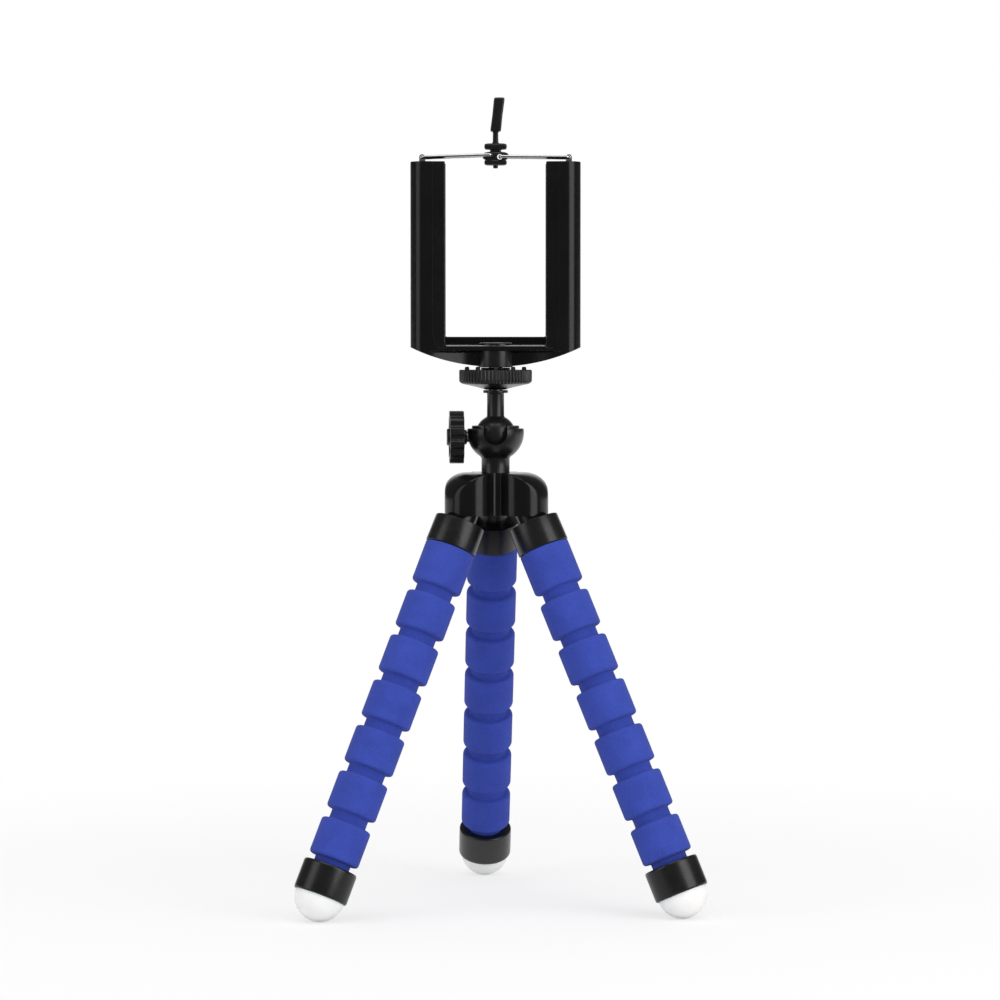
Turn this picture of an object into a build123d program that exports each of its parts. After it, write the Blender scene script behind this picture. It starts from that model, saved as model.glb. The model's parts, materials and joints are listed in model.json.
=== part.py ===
from build123d import *
from math import asin, cos, radians, sin, sqrt
import os

os.makedirs("parts", exist_ok=True)

# A table-top phone tripod: a spring clamp for a phone on a ball head, on three bendable foam legs.
# Millimetres, +Z up, the clamp's front faces -Y. The origin is on the head's axis, at the floor.

# Clearances
running_gap = 0.05  # radial, between a pin and its hole
ball_gap = 0.1  # radial, between the ball and what holds it
face_gap = 0.2  # between flat faces that turn on each other
joint_gap = 0.3  # between rounded faces of pieces that move on each other

# Legs
back_leg_azimuth = 93.3
leg_step_angle = 120.0
leg_lean = 24.3  # degrees from the vertical
leg_root_radius = 24.15  # from the head's axis to the centre of a collar's lower face
bead_count = 7
bead_pitch = 21.6
groove_width = 4.9
last_groove = 2.95  # between the last bead and the foot ring
foam_radius = 11.4
bead_edge = 2.0
neck_ball_radius = 8.4  # the soft neck between two beads, as a ball
foam_plug_radius = 8.2  # the foam's ends, which go into the collar and the foot ring
core_radius = 1.75  # the bendable wire inside the foam
collar_radius = 11.7
collar_height = 12.7
collar_edge = 0.6
collar_foam_depth = 4.0
collar_spigot_radius = 6.8
collar_spigot_depth = 6.0
ring_radius = 12.25
ring_height = 14.0
ring_edge = 0.7
ring_foam_depth = 3.0
ring_web = 2.6
tip_radius = 11.1
tip_plug_radius = 9.9
core_root_depth = 9.0  # how far the wire reaches above the collar's lower face

# Body
shell_lift = 14.65  # from the collars' lower faces to the shell's lower edge
shell_height = 19.0
shell_wall = 2.0
lobe_radius = 11.0
lobe_inset = 9.85  # from the middle of a collar's lower face in to the middle of the shell's lobe
valley_round = 3.2  # the hollow rounding between two lobes
dome_round = 12.0
hub_plate_height = 7.0
hub_boss_radius = 5.2
screw_head_sink = 0.6  # how deep the screw's head sits inside the hub
centre_screw_radius = 2.4
screw_head_radius = 4.2
screw_head_height = 2.4
screw_reach = 6.5  # into the neck of the cup

# Ball head
ball_rise = 16.8  # from the top of the shell to the centre of the ball
ball_radius = 9.2
neck_radius = 6.35
cup_radius = 12.8
cup_centre_rise = 1.2  # the cup's outer ball sits this much above the centre of the inner one
cup_rim_rise = 3.0
cup_clear = 0.3  # between the ball and the cup's bare wall
neck_spigot_radius = 4.6
notch_half_width = 5.3
notch_rise = 1.2  # from the centre of the ball to that of the notch's round bottom
seat_thickness = 1.0
seat_half_angle = 32.0
seat_hole_radius = 2.0
keeper_radius = 10.7
keeper_depth = 1.3
keeper_rise = 1.3
keeper_lip = 0.35
stem_radius = 3.83
stem_height = 19.0  # from the centre of the ball to the flange
flange_radius = 5.6
flange_height = 1.3
stud_radius = 3.1  # the 1/4 inch screw, drawn plain
stud_engagement = 5.2

# Clamp knob
knob_azimuth = 183.0
knob_drop = 0.9  # the knob's axis lies this much below the centre of the ball
knob_radius = 12.0
knob_thickness = 6.4
knob_face_distance = 14.4  # from the head's axis to the knob's inner face
knob_edge = 0.8
flute_count = 12
flute_radius = 1.5
knob_hub_radius = 3.7
knob_hub_rise = 1.2
clamp_screw_radius = 2.4
clamp_screw_collar_radius = 3.0
pad_thickness = 1.5
pad_radius = 2.2

# Locking disc
disc_radius = 16.4
disc_rim_drop = 5.35  # from the disc's top to the lower edge of its knurled rim
disc_round = 1.4
disc_shoulder_radius = 12.2
disc_cone_height = 2.2
disc_cone_radius = 4.3
disc_collar_radius = 6.6
disc_collar_rise = 0.95
knurl_count = 60
knurl_depth = 0.45
nub_count = 10
nub_inset = 2.9  # from the disc's rim to the middle of a nub
nub_radius = 1.0
nub_rise = 1.35
nub_sink = 1.2

# Phone clamp
clamp_half_width = 38.2
lip_half_gap = 22.6  # from the middle to the tips of the arms' lips
clamp_half_depth = 12.0
clamp_wall = 2.0
base_height = 10.6  # from the boss's lower face to the floor that the phone stands on
base_arc_lift = 0.2
base_arc_radius = 87.4
base_keel_half_depth = 5.0
base_keel_flare = 1.0  # how far the plate above the keel slopes down to it
base_slope_drop = 2.1
boss_radius = 7.65
boss_reach = 3.5  # how far the boss is drawn out to the front
boss_cap_rise = 0.5
base_lip_height = 3.1
base_lip_thickness = 2.0
base_lip_round = 0.8
floor_edge = 0.5
nut_radius = 4.8
nut_height = 8.0
arm_height = 81.4  # from the floor to the tops of the arms
arm_corner = 7.0
arm_crease_offset = 9.9
arm_step = 0.5
lip_round = 0.45
lip_taper = 0.6
pivot_half_span = 30.8
pivot_drop = 0.9  # the arms' hinge pins lie this much below the floor
knuckle_radius = 8.5
tongue_radius = 4.2
tongue_half_width = 4.0
hinge_pin_radius = 1.2
hinge_pin_front = 9.0
pad_strip_thickness = 2.0
pad_strip_half_width = 4.8
pad_strip_margin = 3.0

# Wires and lever
linkage_offset = 5.5  # the wires and the lever sit behind the middle of the clamp
wire_radius = 0.7
wire_bend = 1.2
lug_rise = 2.4
lug_inset = 5.2  # from the arm's outer face to the wire's hinge
lug_radius = 1.35
lug_inner = 2.1
lug_thickness = 2.1
top_web_height = 1.9
wire_half_span_arm = 5.7
wire_half_span_lever = 4.6
hook_length = 2.3
lever_rise = 3.1  # from the tops of the arms to the middle of the lever's boss
pivot_offset_x = 2.0
pivot_offset_z = 0.4
open_pivot_clearance = 0.75  # round the right hook, because the linkage is opened there
lever_half_depth = 3.5
lever_boss_length = 12.0
lever_boss_height = 4.8
flange_length = 10.3
upper_flange_height = 2.8
upper_flange_rise = 4.2
lower_flange_height = 2.4
lower_flange_drop = 3.0
lever_neck_width = 4.6
lever_neck_depth = 5.0
nub_width = 2.3
nub_drop = 5.6
paddle_stem_width = 2.5
paddle_stem_depth = 3.4
paddle_lean = 6.6
paddle_start = 11.2
paddle_length = 15.0
paddle_width = 4.9
paddle_depth = 6.8
paddle_round = 1.2

# Places and heights that follow from the sizes above
leg_azimuths = {
    "back": back_leg_azimuth,
    "left": back_leg_azimuth + leg_step_angle,
    "right": back_leg_azimuth + 2 * leg_step_angle,
}
lobe_offset = leg_root_radius - lobe_inset
nub_offset = disc_radius - nub_inset
ring_top = bead_count * bead_pitch - groove_width / 2 + last_groove  # down a leg from its root
leg_length = ring_top + ring_height
root_height = tip_radius + leg_length * cos(radians(leg_lean))
shell_bottom = root_height + shell_lift
shell_top = shell_bottom + shell_height
ball_height = shell_top + ball_rise
flange_bottom = ball_height + stem_height
flange_top = flange_bottom + flange_height
disc_bottom = flange_top + face_gap
disc_top = disc_bottom + disc_cone_height + disc_round + disc_rim_drop
clamp_bottom = disc_top + disc_collar_rise + face_gap
floor_height = clamp_bottom + base_height
arm_top = floor_height + arm_height
pivot_height = floor_height - pivot_drop
arc_centre_height = clamp_bottom + base_arc_lift + base_arc_radius
lug_x = clamp_half_width - lug_inset
lug_height = arm_top + lug_rise
lever_height = arm_top + lever_rise


def leg_direction(azimuth):
    """The way down along a leg, as a unit vector."""
    lean, turn = radians(leg_lean), radians(azimuth)
    return Vector(sin(lean) * cos(turn), sin(lean) * sin(turn), -cos(lean))


def leg_across(azimuth):
    """The unit vector square to a leg that points outwards and up."""
    lean, turn = radians(leg_lean), radians(azimuth)
    return Vector(cos(lean) * cos(turn), cos(lean) * sin(turn), sin(lean))


def leg_root(azimuth):
    """The centre of a collar's lower face, from which lengths along a leg are counted."""
    turn = radians(azimuth)
    return Vector(leg_root_radius * cos(turn), leg_root_radius * sin(turn), root_height)


def leg_section(azimuth):
    """The plane through a leg's axis: its x is the radius and its y the way down the leg."""
    across, down = leg_across(azimuth), leg_direction(azimuth)
    return Plane(origin=leg_root(azimuth), x_dir=across, z_dir=across.cross(down))


def leg_axis(azimuth):
    """The axis of a leg."""
    return Axis(leg_root(azimuth), leg_direction(azimuth))


def leg_level(azimuth, distance):
    """The plane square to a leg, at a distance down it."""
    down = leg_direction(azimuth)
    return Plane(origin=leg_root(azimuth) + down * distance, x_dir=leg_across(azimuth), z_dir=down)


def save(part, label):
    """Label a finished piece and write its STEP file."""
    part.label = label
    export_step(part, f"parts/{label}.step")


# The legs: collar, seven foam beads, foot ring, rubber tip and the wire inside
core_bore = core_radius + running_gap
socket_radius = neck_ball_radius + joint_gap
ring_bottom = ring_top + ring_height
plug_top = ring_top + ring_foam_depth + ring_web
for leg, azimuth in leg_azimuths.items():
    section, axis = leg_section(azimuth), leg_axis(azimuth)

    with BuildPart() as collar:
        with BuildSketch(section):
            with BuildLine():
                FilletPolyline(
                    (core_bore, -collar_height),
                    (collar_radius, -collar_height),
                    (collar_radius, 0),
                    (core_bore, 0),
                    radius=collar_edge,
                )
                Line((core_bore, 0), (core_bore, -collar_height))
            make_face()
            with Locations((foam_plug_radius / 2, -collar_foam_depth / 2)):
                Rectangle(foam_plug_radius, collar_foam_depth, mode=Mode.SUBTRACT)
            with Locations((collar_spigot_radius / 2, collar_spigot_depth / 2 - collar_height)):
                Rectangle(collar_spigot_radius, collar_spigot_depth, mode=Mode.SUBTRACT)
        revolve(axis=axis)
    save(collar.part, f"{leg}_leg_collar")

    for bead in range(1, bead_count + 1):
        upper_pivot, lower_pivot = (bead - 1) * bead_pitch, bead * bead_pitch
        first, last = bead == 1, bead == bead_count
        bead_top = 0 if first else upper_pivot + groove_width / 2
        bead_bottom = lower_pivot - groove_width / 2
        with BuildPart() as foam_bead:
            with BuildSketch(section):
                with BuildLine():
                    FilletPolyline(
                        (core_bore, bead_top),
                        (foam_radius, bead_top),
                        (foam_radius, bead_bottom),
                        (core_bore, bead_bottom),
                        radius=bead_edge,
                    )
                    Line((core_bore, bead_bottom), (core_bore, bead_top))
                make_face()
                if first:
                    with Locations((foam_plug_radius / 2, -collar_foam_depth / 2)):
                        Rectangle(foam_plug_radius, collar_foam_depth)
                else:
                    with Locations((0, upper_pivot)):
                        Circle(socket_radius, mode=Mode.SUBTRACT)
                if last:
                    plug_length = last_groove + ring_foam_depth
                    with Locations((foam_plug_radius / 2, bead_bottom + plug_length / 2)):
                        Rectangle(foam_plug_radius, plug_length)
                else:
                    with Locations((0, lower_pivot)):
                        Circle(neck_ball_radius)
                with Locations((core_bore - foam_radius, (upper_pivot + lower_pivot) / 2)):
                    Rectangle(2 * foam_radius, 3 * bead_pitch, mode=Mode.SUBTRACT)
            revolve(axis=axis)
        save(foam_bead.part, f"{leg}_leg_foam_{bead}")

    with BuildPart() as foot_ring:
        with BuildSketch(section):
            with BuildLine():
                FilletPolyline(
                    (core_bore, ring_top),
                    (ring_radius, ring_top),
                    (ring_radius, ring_bottom),
                    (core_bore, ring_bottom),
                    radius=ring_edge,
                )
                Line((core_bore, ring_bottom), (core_bore, ring_top))
            make_face()
            with Locations((foam_plug_radius / 2, ring_top + ring_foam_depth / 2)):
                Rectangle(foam_plug_radius, ring_foam_depth, mode=Mode.SUBTRACT)
            with Locations((tip_plug_radius / 2, (plug_top + ring_bottom) / 2)):
                Rectangle(tip_plug_radius, ring_bottom - plug_top, mode=Mode.SUBTRACT)
        revolve(axis=axis)
    save(foot_ring.part, f"{leg}_leg_foot_ring")

    with BuildPart() as foot_tip:
        with BuildSketch(section):
            with BuildLine():
                Line((0, plug_top), (tip_plug_radius, plug_top))
                Line((tip_plug_radius, plug_top), (tip_plug_radius, ring_bottom))
                Line((tip_plug_radius, ring_bottom), (tip_radius, ring_bottom))
                RadiusArc((tip_radius, ring_bottom), (0, ring_bottom + tip_radius), -tip_radius)
                Line((0, ring_bottom + tip_radius), (0, plug_top))
            make_face()
        revolve(axis=axis)
    save(foot_tip.part, f"{leg}_leg_foot_tip")

    with BuildPart() as core_wire:
        with BuildSketch(leg_level(azimuth, -core_root_depth)):
            Circle(core_radius)
        extrude(amount=core_root_depth + plug_top)
    save(core_wire.part, f"{leg}_leg_core_wire")


# The body's shell: three lobes with a domed top, open below
half_step = leg_step_angle / 2
first_valley_azimuth = back_leg_azimuth + half_step
valley_offset = lobe_offset * cos(radians(half_step)) + sqrt(
    (lobe_radius + valley_round) ** 2 - (lobe_offset * sin(radians(half_step))) ** 2
)
outline_centres = [
    (distance * cos(radians(azimuth + turn)), distance * sin(radians(azimuth + turn)))
    for azimuth in leg_azimuths.values()
    for distance, turn in ((lobe_offset, 0), (valley_offset, half_step))
]


def lobed_outline(inset, height):
    """Three lobes over the legs with rounded valleys between them, drawn in by the inset."""
    with BuildSketch(Plane.XY.offset(height)) as outline:
        Polygon(*outline_centres, align=None)
        with PolarLocations(valley_offset, len(leg_azimuths), start_angle=first_valley_azimuth):
            Circle(valley_round + inset, mode=Mode.SUBTRACT)
        with PolarLocations(lobe_offset, len(leg_azimuths), start_angle=back_leg_azimuth):
            Circle(lobe_radius - inset)
    return outline.sketch


def lobed_block(inset, top):
    """The lobes under a dome of revolution, drawn in by the inset all round."""
    dome_radius, round_radius = lobe_offset + lobe_radius - inset, dome_round - inset
    bottom = shell_bottom
    with BuildPart() as block:
        extrude(lobed_outline(inset, bottom), amount=top - bottom)
        with BuildSketch(Plane.XZ):
            with BuildLine():
                Line((0, bottom), (dome_radius, bottom))
                Line((dome_radius, bottom), (dome_radius, top - round_radius))
                JernArc((dome_radius, top - round_radius), (0, 1), round_radius, 90)
                Line((dome_radius - round_radius, top), (0, top))
                Line((0, top), (0, bottom))
            make_face()
        revolve(axis=Axis.Z, mode=Mode.INTERSECT)
    return block.part


with BuildPart() as body_shell:
    add(lobed_block(0, shell_top))
    add(lobed_block(shell_wall, shell_top - shell_wall), mode=Mode.SUBTRACT)
    with BuildSketch(Plane.XY.offset(shell_top - shell_wall)):
        Circle(neck_spigot_radius)
    extrude(amount=shell_wall, mode=Mode.SUBTRACT)
save(body_shell.part, "body_shell")

# The leg hub: a plate inside the shell, with a spigot into each collar
hub_plate_top = shell_bottom + hub_plate_height
screw_head_bottom = shell_bottom + screw_head_sink
screw_seat = screw_head_bottom + screw_head_height
spigot_start = -collar_height - 2 * collar_spigot_radius
with BuildPart() as leg_hub:
    for azimuth in leg_azimuths.values():
        with BuildSketch(leg_level(azimuth, spigot_start)):
            Circle(collar_spigot_radius)
        extrude(amount=collar_spigot_depth - collar_height - spigot_start)
        with BuildSketch(leg_level(azimuth, spigot_start)):
            Circle(core_bore)
        extrude(amount=leg_root_radius, mode=Mode.SUBTRACT)
    with BuildSketch(Plane.XY.offset(shell_bottom)):
        Circle(2 * leg_root_radius)
    extrude(amount=3 * leg_root_radius, mode=Mode.SUBTRACT)
    extrude(lobed_outline(shell_wall, shell_bottom), amount=hub_plate_height)
    with BuildSketch(Plane.XY.offset(hub_plate_top)):
        Circle(hub_boss_radius)
    extrude(amount=shell_height - shell_wall - hub_plate_height)
    with BuildSketch(Plane.XY.offset(shell_bottom)):
        Circle(centre_screw_radius)
    extrude(amount=shell_height, mode=Mode.SUBTRACT)
    with BuildSketch(Plane.XY.offset(shell_bottom)):
        Circle(screw_head_radius + joint_gap)
    extrude(amount=screw_seat - shell_bottom, mode=Mode.SUBTRACT)
save(leg_hub.part, "leg_hub")

with BuildPart() as centre_screw:
    with BuildSketch(Plane.XY.offset(screw_head_bottom)):
        Circle(screw_head_radius)
    extrude(amount=screw_head_height)
    fillet(centre_screw.edges().group_by(Axis.Z)[0], screw_head_height / 3)
    with BuildSketch(Plane.XY.offset(screw_seat)):
        Circle(centre_screw_radius)
    extrude(amount=shell_top - screw_seat + screw_reach)
    with BuildSketch(Plane.XY.offset(screw_head_bottom)):
        RegularPolygon(centre_screw_radius / 2, 4)
    extrude(amount=screw_head_height / 2, mode=Mode.SUBTRACT)
save(centre_screw.part, "centre_screw")

# The ball cup: a neck, a ball-shaped cup and a notch in front that lets the stem drop to level
cup_rim = ball_height + cup_rim_rise
cup_centre = ball_height + cup_centre_rise
cavity_radius = ball_radius + cup_clear
seat_outer_radius = ball_radius + ball_gap + seat_thickness
keeper_bottom = cup_rim - keeper_depth
knob_turn = radians(knob_azimuth)
knob_direction = Vector(cos(knob_turn), sin(knob_turn), 0)
knob_axis_height = ball_height - knob_drop


def knob_level(distance):
    """The plane square to the knob's axis, at a distance out from the head's axis."""
    centre = knob_direction * distance + Vector(0, 0, knob_axis_height)
    return Plane(origin=centre, x_dir=(0, 0, 1), z_dir=knob_direction)


def ball_solid(radius, height):
    """A ball on the head's axis."""
    with BuildPart() as ball:
        with Locations((0, 0, height)):
            Sphere(radius)
    return ball.part


def drop_notch(half_width, low, high):
    """The space in front that the stem swings down through."""
    with BuildPart() as notch:
        with BuildSketch(Plane.XZ):
            with Locations((0, low)):
                Circle(half_width)
            with Locations((0, (low + high) / 2)):
                Rectangle(2 * half_width, high - low)
        extrude(amount=2 * cup_radius)
    return notch.part


with BuildPart() as ball_cup:
    add(ball_solid(cup_radius, cup_centre))
    with BuildSketch(Plane.XY.offset(cup_rim)):
        Circle(2 * cup_radius)
    extrude(amount=2 * cup_radius, mode=Mode.SUBTRACT)
    with BuildSketch(Plane.XY.offset(shell_top)):
        Circle(neck_radius)
    extrude(amount=cup_centre - shell_top)
    with BuildSketch(Plane.XY.offset(shell_top - shell_wall)):
        Circle(neck_spigot_radius)
    extrude(amount=shell_wall)
    add(ball_solid(cavity_radius, ball_height), mode=Mode.SUBTRACT)
    with BuildSketch(Plane.XY.offset(keeper_bottom)):
        Circle(keeper_radius)
    extrude(amount=2 * keeper_depth, mode=Mode.SUBTRACT)
    with BuildSketch(Plane.XZ):
        with BuildLine():
            Line((0, ball_height), (0, ball_height - seat_outer_radius))
            RadiusArc(
                (0, ball_height - seat_outer_radius),
                (
                    seat_outer_radius * sin(radians(2 * seat_half_angle)),
                    ball_height - seat_outer_radius * cos(radians(2 * seat_half_angle)),
                ),
                -seat_outer_radius,
            )
            Line(
                (
                    seat_outer_radius * sin(radians(2 * seat_half_angle)),
                    ball_height - seat_outer_radius * cos(radians(2 * seat_half_angle)),
                ),
                (0, ball_height),
            )
        make_face()
    revolve(axis=Axis.Z, mode=Mode.SUBTRACT)
    add(drop_notch(notch_half_width, ball_height + notch_rise, cup_rim + cup_radius), mode=Mode.SUBTRACT)
    with BuildSketch(Plane.XY.offset(shell_top - shell_wall)):
        Circle(centre_screw_radius)
    extrude(amount=shell_wall + screw_reach, mode=Mode.SUBTRACT)
    with BuildSketch(knob_level(0)):
        Circle(clamp_screw_radius + running_gap)
    extrude(amount=2 * cup_radius, mode=Mode.SUBTRACT)
save(ball_cup.part, "ball_cup")

with BuildPart() as ball_seat:
    inner, outer = ball_radius + ball_gap, seat_outer_radius - joint_gap / 2
    with BuildSketch(Plane.XZ):
        with BuildLine():
            start = asin(seat_hole_radius / inner)
            end = radians(seat_half_angle)
            inner_start = (inner * sin(start), ball_height - inner * cos(start))
            inner_end = (inner * sin(end), ball_height - inner * cos(end))
            outer_start = (outer * sin(start), ball_height - outer * cos(start))
            outer_end = (outer * sin(end), ball_height - outer * cos(end))
            RadiusArc(inner_start, inner_end, -inner)
            Line(inner_end, outer_end)
            RadiusArc(outer_end, outer_start, outer)
            Line(outer_start, inner_start)
        make_face()
    revolve(axis=Axis.Z)
save(ball_seat.part, "ball_seat")

keeper_top = cup_rim + keeper_rise
with BuildPart() as keeper_ring:
    with BuildSketch(Plane.XY.offset(keeper_bottom)):
        Circle(keeper_radius)
    extrude(amount=keeper_top - keeper_bottom)
    fillet(keeper_ring.edges().group_by(Axis.Z)[-1], keeper_lip)
    add(ball_solid(ball_radius + ball_gap, ball_height), mode=Mode.SUBTRACT)
    add(drop_notch(notch_half_width, ball_height + notch_rise, cup_rim + cup_radius), mode=Mode.SUBTRACT)
save(keeper_ring.part, "keeper_ring")

stud_top = clamp_bottom + stud_engagement
with BuildPart() as ball_stud:
    add(ball_solid(ball_radius, ball_height))
    with BuildSketch(Plane.XY.offset(ball_height)):
        Circle(stem_radius)
    extrude(amount=stem_height)
    with BuildSketch(Plane.XY.offset(flange_bottom)):
        Circle(flange_radius)
    extrude(amount=flange_height)
    fillet(ball_stud.edges().group_by(Axis.Z)[-1], flange_height / 4)
    with BuildSketch(Plane.XY.offset(ball_height)):
        Circle(stud_radius)
    extrude(amount=stud_top - ball_height, mode=Mode.SUBTRACT)
save(ball_stud.part, "ball_stud")

with BuildPart() as mounting_screw:
    with BuildSketch(Plane.XY.offset(ball_height)):
        Circle(stud_radius)
    extrude(amount=stud_top - ball_height)
    chamfer(mounting_screw.edges().group_by(Axis.Z)[-1], stud_radius / 6)
save(mounting_screw.part, "mounting_screw")

# The knob that clamps the ball, its screw and the pad that presses on the ball
knob_outer_face = knob_face_distance + knob_thickness
with BuildPart() as clamp_knob:
    with BuildSketch(knob_level(knob_face_distance)):
        Circle(knob_radius)
    extrude(amount=knob_thickness)
    fillet(clamp_knob.edges(), knob_edge)
    with BuildSketch(knob_level(knob_face_distance)):
        with PolarLocations(knob_radius, flute_count):
            Circle(flute_radius)
    extrude(amount=knob_thickness, mode=Mode.SUBTRACT)
    with BuildSketch(knob_level(knob_outer_face)):
        Circle(knob_hub_radius)
    extrude(amount=knob_hub_rise)
    with BuildSketch(knob_level(knob_face_distance)):
        Circle(clamp_screw_radius)
    extrude(amount=knob_thickness + knob_hub_rise, mode=Mode.SUBTRACT)
save(clamp_knob.part, "clamp_knob")

pad_face = ball_radius + cup_clear
pad_back = pad_face + pad_thickness
with BuildPart() as clamp_screw:
    with BuildSketch(knob_level(pad_back)):
        Circle(clamp_screw_radius)
    extrude(amount=knob_outer_face + knob_hub_rise - pad_back)
    with BuildSketch(knob_level(cup_radius + face_gap)):
        Circle(clamp_screw_collar_radius)
    extrude(amount=knob_face_distance - cup_radius - face_gap)
save(clamp_screw.part, "clamp_screw")

with BuildPart() as pressure_pad:
    with BuildSketch(knob_level(pad_face)):
        Circle(pad_radius)
    extrude(amount=pad_thickness)
save(pressure_pad.part, "pressure_pad")

# The knurled locking disc and its rubber nubs
with BuildPart() as lock_disc:
    with BuildSketch(Plane.XZ):
        with BuildLine():
            rim_bottom = disc_top - disc_rim_drop
            shoulder_height = disc_bottom + disc_cone_height
            Polyline(
                (0, disc_top + disc_collar_rise),
                (0, disc_bottom),
                (disc_cone_radius, disc_bottom),
                (disc_shoulder_radius, shoulder_height),
            )
            Spline(
                (disc_shoulder_radius, shoulder_height),
                (disc_radius, rim_bottom),
                tangents=((1, 0.25), (0, 1)),
            )
            Polyline(
                (disc_radius, rim_bottom),
                (disc_radius, disc_top),
                (disc_collar_radius, disc_top),
                (disc_collar_radius, disc_top + disc_collar_rise),
                (0, disc_top + disc_collar_rise),
            )
        make_face()
    revolve(axis=Axis.Z)
    with BuildSketch(Plane.XY.offset(disc_bottom)):
        with PolarLocations(disc_radius, knurl_count):
            Circle(knurl_depth, mode=Mode.ADD)
    extrude(amount=disc_top - disc_bottom, mode=Mode.SUBTRACT)
    with BuildSketch(Plane.XY.offset(disc_top - nub_sink)):
        with PolarLocations(nub_offset, nub_count, start_angle=180 / nub_count):
            Circle(nub_radius)
    extrude(amount=nub_sink, mode=Mode.SUBTRACT)
    with BuildSketch(Plane.XY.offset(disc_bottom)):
        Circle(stud_radius + ball_gap)
    extrude(amount=disc_top + disc_collar_rise - disc_bottom, mode=Mode.SUBTRACT)
save(lock_disc.part, "lock_disc")

with BuildPart() as disc_nubs:
    with BuildSketch(Plane.XY.offset(disc_top - nub_sink)):
        with PolarLocations(nub_offset, nub_count, start_angle=180 / nub_count):
            Circle(nub_radius)
    extrude(amount=nub_sink + nub_rise)
    fillet(disc_nubs.edges().group_by(Axis.Z)[-1], nub_radius / 3)
save(disc_nubs.part, "disc_nubs")

# The base of the phone clamp, with a tongue at each end for an arm's hinge
with BuildPart() as clamp_base:
    with BuildSketch(Plane.XZ):
        with Locations((0, arc_centre_height)):
            Circle(base_arc_radius)
        with Locations((0, (clamp_bottom + floor_height) / 2)):
            Rectangle(2 * pivot_half_span, base_height, mode=Mode.INTERSECT)
        with Locations((pivot_half_span, pivot_height), (-pivot_half_span, pivot_height)):
            Circle(knuckle_radius + joint_gap, mode=Mode.SUBTRACT)
    extrude(amount=clamp_half_depth, both=True)
    fillet(
        clamp_base.edges().filter_by(Axis.X).group_by(Axis.Z)[-1].sort_by(Axis.Y)[0], floor_edge
    )
    slope_top = pivot_height - base_slope_drop
    with BuildSketch(Plane.YZ):
        Polygon(
            (clamp_half_depth, slope_top),
            (base_keel_half_depth, slope_top - base_keel_flare),
            (base_keel_half_depth, clamp_bottom - base_height),
            (2 * clamp_half_depth, clamp_bottom - base_height),
            (2 * clamp_half_depth, slope_top),
            align=None,
        )
        mirror(about=Plane.XZ)
    extrude(amount=clamp_half_width, both=True, mode=Mode.SUBTRACT)
    with BuildSketch(Plane.XY.offset(clamp_bottom)):
        Circle(boss_radius)
    extrude(amount=base_height + boss_cap_rise)
    with BuildSketch(Plane.XY.offset(clamp_bottom)):
        with Locations((0, -boss_reach)):
            Circle(boss_radius)
        with Locations((0, -boss_reach / 2)):
            Rectangle(2 * boss_radius, boss_reach)
    extrude(amount=base_height)
    lip_half_length = pivot_half_span - knuckle_radius - joint_gap
    with BuildSketch(Plane.XZ.offset(-clamp_half_depth)):
        with Locations((0, floor_height)):
            RectangleRounded(2 * lip_half_length, 2 * base_lip_height, base_lip_round)
    extrude(amount=base_lip_thickness)
    with BuildSketch(Plane.XZ):
        with Locations((pivot_half_span, pivot_height), (-pivot_half_span, pivot_height)):
            Circle(tongue_radius)
        tongue_low, tongue_high = pivot_height - tongue_radius, floor_height
        with Locations((0, (tongue_low + tongue_high) / 2)):
            Rectangle(2 * pivot_half_span, tongue_high - tongue_low)
    extrude(amount=tongue_half_width, both=True)
    with BuildSketch(Plane.XZ):
        with Locations((pivot_half_span, pivot_height), (-pivot_half_span, pivot_height)):
            Circle(hinge_pin_radius)
    extrude(amount=clamp_half_depth, both=True, mode=Mode.SUBTRACT)
    with BuildSketch(Plane.XY.offset(clamp_bottom)):
        Circle(nut_radius)
    extrude(amount=nut_height, mode=Mode.SUBTRACT)
save(clamp_base.part, "clamp_base")

with BuildPart() as thread_nut:
    with BuildSketch(Plane.XY.offset(clamp_bottom)):
        Circle(nut_radius)
        Circle(stud_radius + ball_gap, mode=Mode.SUBTRACT)
    extrude(amount=nut_height)
save(thread_nut.part, "thread_nut")

with BuildPart() as hinge_pins:
    with BuildSketch(Plane.XZ.offset(-clamp_half_depth)):
        with Locations((pivot_half_span, pivot_height), (-pivot_half_span, pivot_height)):
            Circle(hinge_pin_radius)
    extrude(amount=clamp_half_depth + hinge_pin_front)
save(hinge_pins.part, "hinge_pins")

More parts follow.
